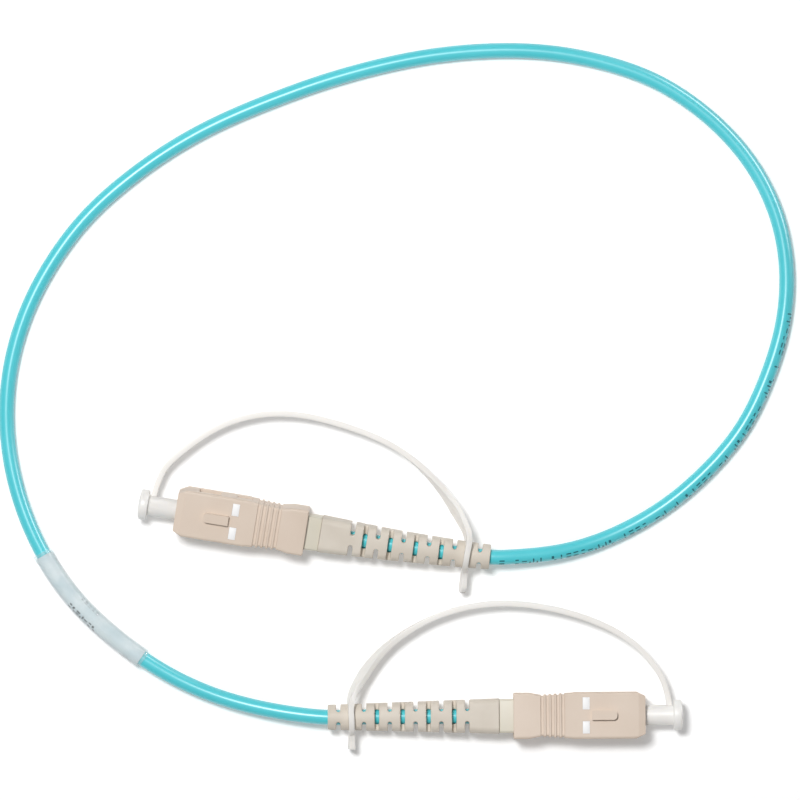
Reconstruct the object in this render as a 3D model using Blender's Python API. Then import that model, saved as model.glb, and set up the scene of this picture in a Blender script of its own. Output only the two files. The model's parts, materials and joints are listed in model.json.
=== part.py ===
"""Simplex fibre optic patch cord: a push-pull connector at each end of a loop of jacketed cable.

Each connector is modelled along its own X axis, with x = 0 at the front of its grip, +X towards
the ferrule's tip and the key on +Z. An empty then places it by the point where the cable leaves
its boot. Pieces grow outwards from the ferrule and the fibre: each holds the one inside it with a
named clearance, and walls are named values.
"""

import math

import bmesh
import bpy
import numpy as np
from mathutils import Matrix, Vector

MM = 0.001

# Clearances.
SEAT_GAP = 0.30 * MM      # between two faces that stop each other
SLIDE_GAP = 0.10 * MM     # between a round piece and the round piece that slides on it
NEST_GAP = 0.15 * MM      # between the layers gripped together on the crimp post
LOOSE_GAP = 0.20 * MM     # between the fibre or the cable and what it passes through

# Ferrule and its spring.
FERRULE_DIAMETER = 2.5 * MM
FERRULE_LENGTH = 10.5 * MM
FERRULE_REACH = 2.2 * MM          # ferrule's tip in front of the grip
FERRULE_TRAVEL = 0.8 * MM
FERRULE_CHAMFER = 0.5 * MM
FERRULE_REAR_EDGE = 0.2 * MM
COLLAR_FLANGE_LENGTH = 3.0 * MM
COLLAR_TAIL_LENGTH = 3.9 * MM
SPRING_LENGTH = 6.4 * MM
SPRING_WIRE = 0.45 * MM
SPRING_TURNS = 7
SPRING_POINTS = 10                # points on each turn

# Dust cap and its tether.
CAP_WALL = 0.6 * MM
CAP_BARREL_OUT = 5.46 * MM        # barrel in front of the grip
CAP_BARREL_IN = 3.0 * MM          # barrel inside the grip
CAP_FLANGE_LENGTH = 1.9 * MM
CAP_FLANGE_RIM = 0.95 * MM        # flange beyond the barrel
CAP_EDGE = 0.25 * MM
CAP_FACE_RADIUS = 1.45 * MM       # flat middle of the outer face
TETHER_THICKNESS = 1.0 * MM
TETHER_HEIGHT = 2.5 * MM
TETHER_LEVEL = 3.25 * MM          # middle of the strap above the table
TETHER_ARM = 0.9 * MM             # strap left above and below its slit
TETHER_SLIT_ENDS = 0.4 * MM       # slit beyond the boot, past the gap
TETHER_FROM_TAIL = 4.5 * MM       # slit's middle from the boot's end

# Plug frame.
FRAME_TOP_WALL = 0.4 * MM
FRAME_SIDE_WALL = 0.85 * MM
FRAME_RECESS = 0.6 * MM           # frame behind the grip's front
FRAME_CORNER = 0.4 * MM
SLEEVE_DEPTH = 4.4 * MM           # front bore, for the adapter's sleeve
SHOULDER_LENGTH = 0.8 * MM
HOOK_POCKET_FRONT = 4.0 * MM
HOOK_POCKET_LENGTH = 3.2 * MM
HOOK_POCKET_HEIGHT = 3.6 * MM
HOOK_POCKET_DEPTH = 0.45 * MM
EAR_FRONT = 13.0 * MM
EAR_LENGTH = 1.0 * MM
EAR_HEIGHT = 1.8 * MM

# Grip.
GRIP_LENGTH = 25.25 * MM
GRIP_TRAVEL = 1.5 * MM
GRIP_SIDE_WALL = 1.1 * MM
GRIP_TOP_WALL = 0.75 * MM
GRIP_WAIST_WALL = 0.5 * MM
GRIP_CORNER = 0.5 * MM
CAVITY_CORNER = 0.4 * MM
NOSE_CHAMFER_LENGTH = 1.7 * MM
NOSE_CHAMFER_DEPTH = 0.9 * MM
GRIP_EDGE = 0.25 * MM
REAR_CAVITY_LENGTH = 10.25 * MM   # wider part of the cavity, around the backbone
CAVITY_LEAD_IN = 0.4 * MM         # slope between the cavity's two widths
FLARE_FROM_REAR = 11.45 * MM
WAIST_FROM_REAR = 5.1 * MM
REAR_BLOCK_LENGTH = 3.1 * MM
FLARE_STEP = 0.08 * MM
GROOVES = 5
GROOVE_PITCH = 1.0 * MM
GROOVE_WIDTH = 0.6 * MM
GROOVE_DEPTH = 0.18 * MM
LAST_GROOVE_FROM_REAR = 5.5 * MM
WINDOW_FRONT = 3.85 * MM
WINDOW_LENGTH = 4.2 * MM
WINDOW_HEIGHT = 4.2 * MM
KEY_FRONT = 5.4 * MM
KEY_LENGTH = 4.85 * MM
KEY_WIDTH = 1.8 * MM
KEY_HEIGHT = 0.95 * MM
KEY_NOSE_RADIUS = 0.75 * MM
KEY_NOSE_STEPS = 4                # faces on each rounded corner of the key
MARK_FRONT = 10.65 * MM
MARK_LENGTH = 1.4 * MM
MARK_WIDTH = 2.4 * MM
MARK_OFFSET = 2.3 * MM            # mark's middle from the connector's axis
MARK_DEPTH = 0.12 * MM

# Backbone and crimp.
BACKBONE_WIDTH = 6.5 * MM
BACKBONE_SHOWN = 3.0 * MM         # backbone between grip and boot
BACKBONE_CORNER = 0.6 * MM
SPIGOT_LENGTH = 5.1 * MM
TOOTH_BEHIND_SPIGOT = 2.1 * MM
TOOTH_LENGTH = 1.0 * MM
TOOTH_HEIGHT = 1.4 * MM
TOOTH_ROOT = 1.4 * MM             # tooth's inner end from the axis
BUFFER_DIAMETER = 0.9 * MM
POST_WALL = 0.85 * MM
ARAMID_THICKNESS = 0.3 * MM
CRIMP_WALL = 0.3 * MM

# Boot.
BOOT_LENGTH = 32.6 * MM
BOOT_SOCKET_DEPTH = 5.3 * MM
BOOT_SIDE_WALL = 0.7 * MM
BOOT_TOP_WALL = 0.5 * MM
BOOT_TAIL_WALL = 0.75 * MM
BOOT_CORNER = 1.2 * MM
BOOT_EDGE = 0.3 * MM
SLOTS = 11
FIRST_SLOT_GAP = 0.58 * MM        # first slot's middle behind the socket
LAST_SLOT_FROM_TAIL = 2.02 * MM
SLOT_WIDTH = 0.95 * MM
SLOT_BRIDGE = 1.66 * MM           # width left across the middle of a slot
BOOT_STATIONS = 6

# Cable and its label.
CABLE_DIAMETER = 2.9 * MM
CABLE_POINT_SPACING = 2.4         # in cable diameters
LABEL_LENGTH = 29.0 * MM
LABEL_FROM_BOOT = 37.3 * MM       # label's near end from boot B, along the cable
LABEL_PAPER = 0.10 * MM
LABEL_SLEEVE = 0.15 * MM
LABEL_GAP = 0.15 * MM
PAPER_INSET = 0.8 * MM            # paper's end inside the sleeve's end

# Cable's route between the two boots, in millimetres: (x, y, z) of its centre.
CABLE_ROUTE = [
    (19.2, 4.4, 4.0), (26.9, 5.1, 3.1), (34.9, 7.0, 2.1), (42.8, 10.4, 1.6),
    (50.4, 15.2, 1.5), (57.5, 21.5, 1.5), (63.7, 29.1, 1.5), (68.2, 38.1, 1.5),
    (71.3, 48.0, 1.5), (72.3, 58.4, 1.5), (70.7, 68.8, 1.5), (66.4, 78.4, 1.5),
    (59.8, 86.6, 1.5), (51.7, 93.1, 1.5), (42.7, 97.6, 1.5), (28.7, 101.0, 1.5),
    (15.5, 101.6, 1.5), (3.5, 100.5, 1.5), (-7.3, 98.3, 1.5), (-17.4, 95.4, 1.5),
    (-27.3, 91.8, 1.5), (-37.5, 87.4, 1.5), (-48.0, 81.4, 1.5), (-58.6, 73.2, 1.5),
    (-65.2, 66.1, 1.5), (-70.8, 57.6, 1.5), (-75.0, 48.0, 1.5), (-77.3, 37.4, 1.5),
    (-77.3, 26.4, 1.5), (-75.0, 15.4, 1.75), (-70.6, 5.1, 2.1), (-64.2, -4.1, 2.15),
    (-55.8, -11.9, 2.15), (-46.6, -18.1, 2.15), (-36.4, -22.6, 2.4), (-25.8, -25.2, 3.1),
]

# Where each connector lies. tail is the middle of the boot's end in millimetres, heading is the
# grip's direction and boot_bend the boot's turn away from it, both in degrees. A tether's route is
# (share of the straight line from cap to slit, distance out from that line in millimetres).
CONNECTORS = {
    "a": {
        "tail": (15.25, 4.38), "heading": 170.7, "boot_bend": 3.3, "roll": -7.0,
        "tether_side": -1, "tether_end": 7.5 * MM,
        "tether_route": [
            (0.014, 4.7), (0.055, 8.7), (0.124, 13.3), (0.197, 16.7), (0.324, 19.7),
            (0.461, 20.3), (0.577, 19.6), (0.682, 18.4), (0.781, 15.9), (0.860, 12.7),
            (0.917, 9.7), (0.966, 6.3),
        ],
    },
    "b": {
        "tail": (-15.85, -26.37), "heading": 0.4, "boot_bend": 0.0, "roll": -2.5,
        "tether_side": 1, "tether_end": 6.2 * MM,
        "tether_route": [
            (0.015, 4.3), (0.049, 8.1), (0.099, 11.8), (0.179, 15.1), (0.290, 18.0),
            (0.402, 19.8), (0.507, 20.6), (0.627, 20.1), (0.742, 18.1), (0.835, 15.2),
            (0.907, 11.9), (0.957, 8.0),
        ],
    },
}

# Sizes that follow from the ones above.
FERRULE_RADIUS = FERRULE_DIAMETER / 2
CAP_BORE = FERRULE_RADIUS + SLIDE_GAP
CAP_RADIUS = CAP_BORE + CAP_WALL
FRAME_BORE = CAP_RADIUS + SEAT_GAP
FRAME_HALF_WIDTH = FRAME_BORE + FRAME_SIDE_WALL
FRAME_HALF_HEIGHT = FRAME_BORE + FRAME_TOP_WALL
CAVITY_HALF_WIDTH = FRAME_HALF_WIDTH + SEAT_GAP
CAVITY_HALF_HEIGHT = FRAME_HALF_HEIGHT + SEAT_GAP
GRIP_HALF_WIDTH = CAVITY_HALF_WIDTH + GRIP_SIDE_WALL
GRIP_HALF_HEIGHT = CAVITY_HALF_HEIGHT + GRIP_TOP_WALL
REAR_CAVITY_HALF_WIDTH = max(BACKBONE_WIDTH / 2, FRAME_HALF_WIDTH) + SEAT_GAP
WAIST_HALF_WIDTH = REAR_CAVITY_HALF_WIDTH + GRIP_WAIST_WALL
SHOULDER_REAR = -(FRAME_RECESS + SLEEVE_DEPTH + SHOULDER_LENGTH)
FERRULE_REAR = FERRULE_REACH - FERRULE_LENGTH
COLLAR_FRONT = SHOULDER_REAR - SEAT_GAP
COLLAR_FLANGE_REAR = COLLAR_FRONT - COLLAR_FLANGE_LENGTH
COLLAR_REAR = COLLAR_FLANGE_REAR - COLLAR_TAIL_LENGTH
SPIGOT_FRONT = COLLAR_FLANGE_REAR - SPRING_LENGTH - 2 * SEAT_GAP
SPIGOT_RADIUS = FRAME_BORE - SEAT_GAP
BLOCK_FRONT = SPIGOT_FRONT - SPIGOT_LENGTH
FRAME_REAR = BLOCK_FRONT + SEAT_GAP
TOOTH_FRONT = SPIGOT_FRONT - TOOTH_BEHIND_SPIGOT
BOOT_FRONT = -(GRIP_LENGTH + BACKBONE_SHOWN)
BOOT_TAIL = BOOT_FRONT - BOOT_LENGTH
FIRST_SLOT = BOOT_SOCKET_DEPTH + FIRST_SLOT_GAP
SLOT_PITCH = (BOOT_LENGTH - FIRST_SLOT - LAST_SLOT_FROM_TAIL) / (SLOTS - 1)
CABLE_FRONT = BOOT_FRONT - BOOT_SOCKET_DEPTH
SPRING_RADIUS = FRAME_BORE - SEAT_GAP - SPRING_WIRE / 2
BUFFER_BORE = BUFFER_DIAMETER / 2 + LOOSE_GAP
POST_RADIUS = BUFFER_BORE + POST_WALL
ARAMID_INNER = POST_RADIUS + NEST_GAP
CRIMP_INNER = ARAMID_INNER + ARAMID_THICKNESS + NEST_GAP
CRIMP_RADIUS = CRIMP_INNER + CRIMP_WALL
SOCKET_RADIUS = CRIMP_RADIUS + SEAT_GAP
CABLE_RADIUS = CABLE_DIAMETER / 2
CABLE_BORE = CABLE_RADIUS + LOOSE_GAP
BOOT_TAIL_RADIUS = CABLE_BORE + BOOT_TAIL_WALL
PAPER_INNER = CABLE_RADIUS + LABEL_GAP
SLEEVE_INNER = PAPER_INNER + LABEL_PAPER + LABEL_GAP


def clear_scene():
    for item in list(bpy.data.objects):
        bpy.data.objects.remove(item, do_unlink=True)


def material(name, colour, roughness, metallic=0.0, alpha=1.0):
    finish = bpy.data.materials.new(name)
    finish.use_nodes = True
    shader = finish.node_tree.nodes["Principled BSDF"]
    shader.inputs["Base Color"].default_value = (*colour, 1.0)
    shader.inputs["Roughness"].default_value = roughness
    shader.inputs["Metallic"].default_value = metallic
    shader.inputs["Alpha"].default_value = alpha
    return finish


def place(name, data, parent, look):
    """An object in the scene, under its connector's empty, with a material of its own."""
    item = bpy.data.objects.new(name, data)
    bpy.context.scene.collection.objects.link(item)
    item.parent = parent
    data.materials.append(material(name, *look))
    return item


def mesh_from(name, bm):
    bmesh.ops.recalc_face_normals(bm, faces=bm.faces)
    mesh = bpy.data.meshes.new(name)
    bm.to_mesh(mesh)
    bm.free()
    mesh.shade_smooth()
    mesh.set_sharp_from_angle(angle=math.radians(35))
    return mesh


# Section points.

def section(x, half_width, half_height, corner, per_corner):
    """One cross-section at x: a rounded rectangle, or a circle where corner fills it."""
    is_round = corner >= min(half_width, half_height) - 1e-9
    points = []
    for quadrant, (side_y, side_z) in enumerate(((1, 1), (-1, 1), (-1, -1), (1, -1))):
        for step in range(per_corner):
            share = (step + 0.5) / per_corner if is_round else step / (per_corner - 1)
            angle = (quadrant + share) * math.pi / 2
            y = side_y * (half_width - corner) + corner * math.cos(angle)
            z = side_z * (half_height - corner) + corner * math.sin(angle)
            points.append((x, y, z))
    return points


def loft(name, stations, through, per_corner=5):
    """A skin over stations of (x, half width, half height, corner).

    A through piece has a hole from end to end, so its last station joins its first.
    """
    bm = bmesh.new()
    rings = [[bm.verts.new(p) for p in section(*station, per_corner)] for station in stations]
    pairs = list(zip(rings, rings[1:]))
    if through:
        pairs.append((rings[-1], rings[0]))
    else:
        bm.faces.new(rings[0])
        bm.faces.new(rings[-1])
    for near, far in pairs:
        for i in range(len(near)):
            bm.faces.new((near[i], near[i - 1], far[i - 1], far[i]))
    return mesh_from(name, bm)


def turned(name, profile, through):
    """A round piece from (x, radius) pairs."""
    return loft(name, [(x, r, r, r) for x, r in profile], through)


# Cutters and additions.

def add_prism(bm, outline, low, high, turn=Matrix.Identity(4)):
    """An outline in XY between two heights, turned by a matrix."""
    floor = [bm.verts.new(turn @ Vector((x, y, low))) for x, y in outline]
    roof = [bm.verts.new(turn @ Vector((x, y, high))) for x, y in outline]
    bm.faces.new(floor)
    bm.faces.new(roof)
    for i in range(len(outline)):
        bm.faces.new((floor[i], floor[i - 1], roof[i - 1], roof[i]))


def add_box(bm, x, y, z):
    """A box between pairs of x, y and z."""
    add_prism(bm, [(x[0], y[0]), (x[1], y[0]), (x[1], y[1]), (x[0], y[1])], *z)


def both_sides(bm, x, y, half_height):
    """A box on each side of the connector, y[0] to y[1] from its axis."""
    for side in (1, -1):
        add_box(bm, x, sorted((side * y[0], side * y[1])), (-half_height, half_height))


def boolean(target, name, bm, operation):
    """Applies the geometry in bm to target as a live modifier."""
    tool = bpy.data.objects.new(name, mesh_from(name, bm))
    bpy.context.scene.collection.objects.link(tool)
    tool.parent = target.parent
    tool.hide_render = True
    tool.display_type = "WIRE"
    modifier = target.modifiers.new(name, "BOOLEAN")
    modifier.operation = operation
    modifier.object = tool


# Looks: colour, roughness, metallic, alpha.

GRIP_LOOK = ((0.73, 0.62, 0.51), 0.5)
BOOT_LOOK = ((0.71, 0.65, 0.56), 0.6)
BACKBONE_LOOK = ((0.68, 0.65, 0.54), 0.5)
FRAME_LOOK = ((0.86, 0.85, 0.81), 0.45)
CERAMIC_LOOK = ((0.90, 0.89, 0.86), 0.15)
NICKEL_LOOK = ((0.66, 0.62, 0.56), 0.3, 1.0)
STEEL_LOOK = ((0.60, 0.60, 0.60), 0.3, 1.0)
ARAMID_LOOK = ((0.78, 0.60, 0.18), 0.8)
BUFFER_LOOK = ((0.05, 0.45, 0.50), 0.5)
CAP_LOOK = ((0.90, 0.89, 0.86), 0.4)
JACKET_LOOK = ((0.11, 0.65, 0.70), 0.35)
PAPER_LOOK = ((0.85, 0.87, 0.88), 0.9)
SLEEVE_LOOK = ((0.75, 0.85, 0.88), 0.2, 0.0, 0.35)


# Grip.

def grip_half_width(depth):
    """Outer half width at a depth behind the front, grooves left out."""
    stops = [
        (0.0, GRIP_HALF_WIDTH - NOSE_CHAMFER_DEPTH),
        (NOSE_CHAMFER_LENGTH, GRIP_HALF_WIDTH),
        (GRIP_LENGTH - FLARE_FROM_REAR, GRIP_HALF_WIDTH),
        (GRIP_LENGTH - FLARE_FROM_REAR + FLARE_STEP, GRIP_HALF_WIDTH - FLARE_STEP),
        (GRIP_LENGTH - WAIST_FROM_REAR, WAIST_HALF_WIDTH),
        (GRIP_LENGTH - REAR_BLOCK_LENGTH, GRIP_HALF_WIDTH),
        (GRIP_LENGTH, GRIP_HALF_WIDTH),
    ]
    return float(np.interp(depth, *zip(*stops)))


def grip_outer_stations():
    """(depth, sunk) of each outer station; sunk is how far it lies under the surface."""
    stations = [
        (0.0, GRIP_EDGE), (GRIP_EDGE, 0.0), (NOSE_CHAMFER_LENGTH, 0.0),
        (GRIP_LENGTH - FLARE_FROM_REAR, 0.0), (GRIP_LENGTH - FLARE_FROM_REAR + FLARE_STEP, 0.0),
        (GRIP_LENGTH - WAIST_FROM_REAR, 0.0), (GRIP_LENGTH - REAR_BLOCK_LENGTH, 0.0),
        (GRIP_LENGTH - GRIP_EDGE, 0.0), (GRIP_LENGTH, GRIP_EDGE),
    ]
    for number in range(GROOVES):
        middle = GRIP_LENGTH - LAST_GROOVE_FROM_REAR - number * GROOVE_PITCH
        for share, sunk in ((-0.5, 0.0), (-0.2, GROOVE_DEPTH), (0.2, GROOVE_DEPTH), (0.5, 0.0)):
            stations.append((middle + share * GROOVE_WIDTH, sunk))
    return sorted(stations)


def make_grip(name, parent):
    stations = []
    for depth, sunk in grip_outer_stations():
        sunk_width = 0.0 if depth == 0.0 else sunk
        stations.append((
            -depth, grip_half_width(depth) - sunk_width, GRIP_HALF_HEIGHT - sunk, GRIP_CORNER,
        ))
    step = -(GRIP_LENGTH - REAR_CAVITY_LENGTH)
    stations += [
        (-GRIP_LENGTH, REAR_CAVITY_HALF_WIDTH, CAVITY_HALF_HEIGHT, CAVITY_CORNER),
        (step, REAR_CAVITY_HALF_WIDTH, CAVITY_HALF_HEIGHT, CAVITY_CORNER),
        (step + CAVITY_LEAD_IN, CAVITY_HALF_WIDTH, CAVITY_HALF_HEIGHT, CAVITY_CORNER),
        (0.0, CAVITY_HALF_WIDTH, CAVITY_HALF_HEIGHT, CAVITY_CORNER),
    ]
    grip = place(name, loft(name, stations, through=True, per_corner=4), parent, GRIP_LOOK)

    windows = bmesh.new()
    wall = (CAVITY_HALF_WIDTH - SEAT_GAP / 2, GRIP_HALF_WIDTH + SEAT_GAP)
    both_sides(windows, (-WINDOW_FRONT - WINDOW_LENGTH, -WINDOW_FRONT), wall, WINDOW_HEIGHT / 2)
    ear_window = (
        -EAR_FRONT - EAR_LENGTH - SEAT_GAP,
        -EAR_FRONT + GRIP_TRAVEL + SEAT_GAP,
    )
    both_sides(windows, ear_window, wall, EAR_HEIGHT / 2 + SEAT_GAP)
    boolean(grip, name + "_windows", windows, "DIFFERENCE")

    pockets = bmesh.new()
    for side in (1, -1):
        middle = side * MARK_OFFSET
        add_box(
            pockets,
            (-MARK_FRONT - MARK_LENGTH, -MARK_FRONT),
            (middle - MARK_WIDTH / 2, middle + MARK_WIDTH / 2),
            (GRIP_HALF_HEIGHT - MARK_DEPTH, GRIP_HALF_HEIGHT + MARK_DEPTH),
        )
    boolean(grip, name + "_mark_pockets", pockets, "DIFFERENCE")

    key = bmesh.new()
    outline = [(-KEY_FRONT - KEY_LENGTH, KEY_WIDTH / 2), (-KEY_FRONT - KEY_LENGTH, -KEY_WIDTH / 2)]
    for side in (-1, 1):
        for step in range(KEY_NOSE_STEPS + 1):
            quarter = step if side > 0 else step - KEY_NOSE_STEPS
            angle = math.pi / 2 * quarter / KEY_NOSE_STEPS
            outline.append((
                -KEY_FRONT - KEY_NOSE_RADIUS + KEY_NOSE_RADIUS * math.cos(angle),
                side * (KEY_WIDTH / 2 - KEY_NOSE_RADIUS) + KEY_NOSE_RADIUS * math.sin(angle),
            ))
    root = GRIP_HALF_HEIGHT - GRIP_TOP_WALL / 2
    add_prism(key, outline, root, GRIP_HALF_HEIGHT + KEY_HEIGHT)
    boolean(grip, name + "_key", key, "UNION")


# Plug frame, ferrule, collar and spring.

def make_frame(name, parent):
    stations = [
        (-FRAME_RECESS, FRAME_HALF_WIDTH, FRAME_HALF_HEIGHT, FRAME_CORNER),
        (FRAME_REAR, FRAME_HALF_WIDTH, FRAME_HALF_HEIGHT, FRAME_CORNER),
    ]
    shoulder_hole = FERRULE_RADIUS + LOOSE_GAP
    shoulder_front = SHOULDER_REAR + SHOULDER_LENGTH
    for x, radius in (
        (FRAME_REAR, FRAME_BORE), (SHOULDER_REAR, FRAME_BORE),
        (SHOULDER_REAR, shoulder_hole), (shoulder_front, shoulder_hole),
        (shoulder_front, FRAME_BORE), (-FRAME_RECESS, FRAME_BORE),
    ):
        stations.append((x, radius, radius, radius))
    frame = place(name, loft(name, stations, through=True), parent, FRAME_LOOK)

    pockets = bmesh.new()
    both_sides(
        pockets,
        (-HOOK_POCKET_FRONT - HOOK_POCKET_LENGTH, -HOOK_POCKET_FRONT),
        (FRAME_HALF_WIDTH - HOOK_POCKET_DEPTH, FRAME_HALF_WIDTH + SEAT_GAP),
        HOOK_POCKET_HEIGHT / 2,
    )
    both_sides(
        pockets,
        (TOOTH_FRONT - TOOTH_LENGTH - SEAT_GAP, TOOTH_FRONT + SEAT_GAP),
        (FRAME_BORE / 2, FRAME_HALF_WIDTH + SEAT_GAP),
        TOOTH_HEIGHT / 2 + SEAT_GAP,
    )
    boolean(frame, name + "_pockets", pockets, "DIFFERENCE")

    ears = bmesh.new()
    both_sides(
        ears,
        (-EAR_FRONT - EAR_LENGTH, -EAR_FRONT),
        (FRAME_HALF_WIDTH - FRAME_SIDE_WALL / 3, GRIP_HALF_WIDTH - SEAT_GAP),
        EAR_HEIGHT / 2,
    )
    boolean(frame, name + "_ears", ears, "UNION")


def make_ferrule(name, parent):
    profile = [
        (FERRULE_REACH, FERRULE_RADIUS - FERRULE_CHAMFER),
        (FERRULE_REACH - FERRULE_CHAMFER, FERRULE_RADIUS),
        (FERRULE_REAR + FERRULE_REAR_EDGE, FERRULE_RADIUS),
        (FERRULE_REAR, FERRULE_RADIUS - FERRULE_REAR_EDGE),
    ]
    place(name, turned(name, profile, through=False), parent, CERAMIC_LOOK)


def make_collar(name, parent):
    flange = FRAME_BORE - LOOSE_GAP
    tail = SPRING_RADIUS - SPRING_WIRE / 2 - LOOSE_GAP
    socket = FERRULE_RADIUS + SLIDE_GAP
    socket_floor = FERRULE_REAR - SEAT_GAP
    profile = [
        (COLLAR_FRONT, flange), (COLLAR_FLANGE_REAR, flange),
        (COLLAR_FLANGE_REAR, tail), (COLLAR_REAR, tail),
        (COLLAR_REAR, BUFFER_BORE), (socket_floor, BUFFER_BORE),
        (socket_floor, socket), (COLLAR_FRONT, socket),
    ]
    place(name, turned(name, profile, through=True), parent, NICKEL_LOOK)


def make_wire(name, points, radius, resolution, parent, look):
    """A round wire or cable along points, with closed ends."""
    curve = bpy.data.curves.new(name, "CURVE")
    curve.dimensions = "3D"
    curve.bevel_depth = radius
    curve.bevel_resolution = resolution
    curve.use_fill_caps = True
    spline = curve.splines.new("POLY")
    spline.points.add(len(points) - 1)
    for point, place_at in zip(spline.points, points):
        point.co = (*place_at, 1.0)
    return place(name, curve, parent, look)


def make_spring(name, parent):
    front = COLLAR_FLANGE_REAR - SEAT_GAP - SPRING_WIRE / 2
    rear = SPIGOT_FRONT + SEAT_GAP + SPRING_WIRE / 2
    steps = SPRING_TURNS * SPRING_POINTS
    points = []
    for step in range(steps + 1):
        angle = 2 * math.pi * step / SPRING_POINTS
        x = front + (rear - front) * step / steps
        points.append((x, SPRING_RADIUS * math.cos(angle), SPRING_RADIUS * math.sin(angle)))
    make_wire(name, points, SPRING_WIRE / 2, 1, parent, STEEL_LOOK)


# Backbone and what is crimped on it.

def make_backbone(name, parent):
    half_width = BACKBONE_WIDTH / 2
    half_height = FRAME_HALF_HEIGHT
    block_rear = BOOT_FRONT + SEAT_GAP
    post_rear = CABLE_FRONT + SEAT_GAP
    edge = BOOT_EDGE
    stations = [
        (SPIGOT_FRONT, SPIGOT_RADIUS, SPIGOT_RADIUS, SPIGOT_RADIUS),
        (BLOCK_FRONT, SPIGOT_RADIUS, SPIGOT_RADIUS, SPIGOT_RADIUS),
        (BLOCK_FRONT, half_width, half_height, BACKBONE_CORNER),
        (block_rear + edge, half_width, half_height, BACKBONE_CORNER),
        (block_rear, half_width - edge, half_height - edge, BACKBONE_CORNER),
        (block_rear, POST_RADIUS, POST_RADIUS, POST_RADIUS),
        (post_rear, POST_RADIUS, POST_RADIUS, POST_RADIUS),
        (post_rear, BUFFER_BORE, BUFFER_BORE, BUFFER_BORE),
        (SPIGOT_FRONT, BUFFER_BORE, BUFFER_BORE, BUFFER_BORE),
    ]
    backbone = place(name, loft(name, stations, through=True), parent, BACKBONE_LOOK)

    teeth = bmesh.new()
    both_sides(
        teeth,
        (TOOTH_FRONT - TOOTH_LENGTH, TOOTH_FRONT),
        (TOOTH_ROOT, FRAME_HALF_WIDTH - LOOSE_GAP),
        TOOTH_HEIGHT / 2,
    )
    boolean(backbone, name + "_teeth", teeth, "UNION")


def make_crimp(connector, parent):
    front = BOOT_FRONT - SEAT_GAP
    rear = CABLE_FRONT + 2 * SEAT_GAP
    for name, inner, wall, look in (
        ("aramid_yarn", ARAMID_INNER, ARAMID_THICKNESS, ARAMID_LOOK),
        ("crimp_sleeve", CRIMP_INNER, CRIMP_WALL, STEEL_LOOK),
    ):
        name = f"{name}_{connector}"
        outer = inner + wall
        profile = [(front, outer), (rear, outer), (rear, inner), (front, inner)]
        place(name, turned(name, profile, through=True), parent, look)


def make_buffered_fibre(name, parent):
    """The coated fibre from the collar, through the backbone, to the cable's end."""
    front = FERRULE_REAR - FERRULE_TRAVEL - 2 * SEAT_GAP
    rear = CABLE_FRONT + SEAT_GAP
    radius = BUFFER_DIAMETER / 2
    place(name, turned(name, [(front, radius), (rear, radius)], through=False), parent, BUFFER_LOOK)


# Boot.

def boot_half_sizes(share):
    """Outer half width, half height and corner, at a share of the boot's length."""
    width = SOCKET_RADIUS + BOOT_SIDE_WALL
    height = SOCKET_RADIUS + BOOT_TOP_WALL
    return tuple(
        front + (BOOT_TAIL_RADIUS - front) * share for front in (width, height, BOOT_CORNER)
    )


def boot_centre(x, bend):
    """Centre and forward angle of the bent boot, from x on the unbent axis."""
    along = max(0.0, CABLE_FRONT - x)
    if along == 0.0 or bend == 0.0:
        return Vector((x, 0.0, 0.0)), 0.0
    radius = (CABLE_FRONT - BOOT_TAIL) / bend
    angle = along / radius
    return Vector((CABLE_FRONT - radius * math.sin(angle), radius * (math.cos(angle) - 1), 0)), angle


def bent(point, bend):
    centre, angle = boot_centre(point.x, bend)
    offset = Vector((-math.sin(angle) * point.y, math.cos(angle) * point.y, point.z))
    return centre + offset


def slot_outline(inner):
    """One slot from its round end at inner, outwards past the boot's side."""
    radius = SLOT_WIDTH / 2
    reach = 2 * (SOCKET_RADIUS + BOOT_SIDE_WALL)
    outline = [(radius, reach), (-radius, reach)]
    for step in range(5):
        angle = math.pi + math.pi * step / 4
        outline.append((radius * math.cos(angle), inner + radius + radius * math.sin(angle)))
    return outline


def make_boot(name, parent, bend):
    steps = [i / BOOT_STATIONS for i in range(1, BOOT_STATIONS)]
    width, height, corner = boot_half_sizes(0.0)
    tail = BOOT_TAIL_RADIUS
    tip = BOOT_TAIL_RADIUS - BOOT_EDGE
    stations = [(BOOT_FRONT, width - BOOT_EDGE, height - BOOT_EDGE, corner)]
    stations.append((BOOT_FRONT - BOOT_EDGE, width, height, corner))
    stations += [(BOOT_FRONT - share * BOOT_LENGTH, *boot_half_sizes(share)) for share in steps]
    stations.append((BOOT_TAIL + BOOT_EDGE, tail, tail, tail))
    stations.append((BOOT_TAIL, tip, tip, tip))
    bore_ends = (BOOT_TAIL, CABLE_FRONT - SEAT_GAP)
    for i in range(BOOT_STATIONS - 1):
        x = bore_ends[0] + (bore_ends[1] - bore_ends[0]) * i / (BOOT_STATIONS - 2)
        stations.append((x, CABLE_BORE, CABLE_BORE, CABLE_BORE))
    stations.append((bore_ends[1], SOCKET_RADIUS, SOCKET_RADIUS, SOCKET_RADIUS))
    stations.append((BOOT_FRONT, SOCKET_RADIUS, SOCKET_RADIUS, SOCKET_RADIUS))
    boot = place(name, loft(name, stations, through=True, per_corner=4), parent, BOOT_LOOK)

    cutters = bmesh.new()
    reach = 2 * (SOCKET_RADIUS + BOOT_SIDE_WALL)
    for number in range(SLOTS):
        x = BOOT_FRONT - FIRST_SLOT - number * SLOT_PITCH
        quarter = math.pi / 2 * (number % 2)
        for half_turn in (0.0, math.pi):
            turn = Matrix.Translation((x, 0, 0)) @ Matrix.Rotation(quarter + half_turn, 4, "X")
            add_prism(cutters, slot_outline(SLOT_BRIDGE / 2), -reach, reach, turn)
    boolean(boot, name + "_slots", cutters, "DIFFERENCE")
    bend_mesh(boot, bend)


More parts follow.
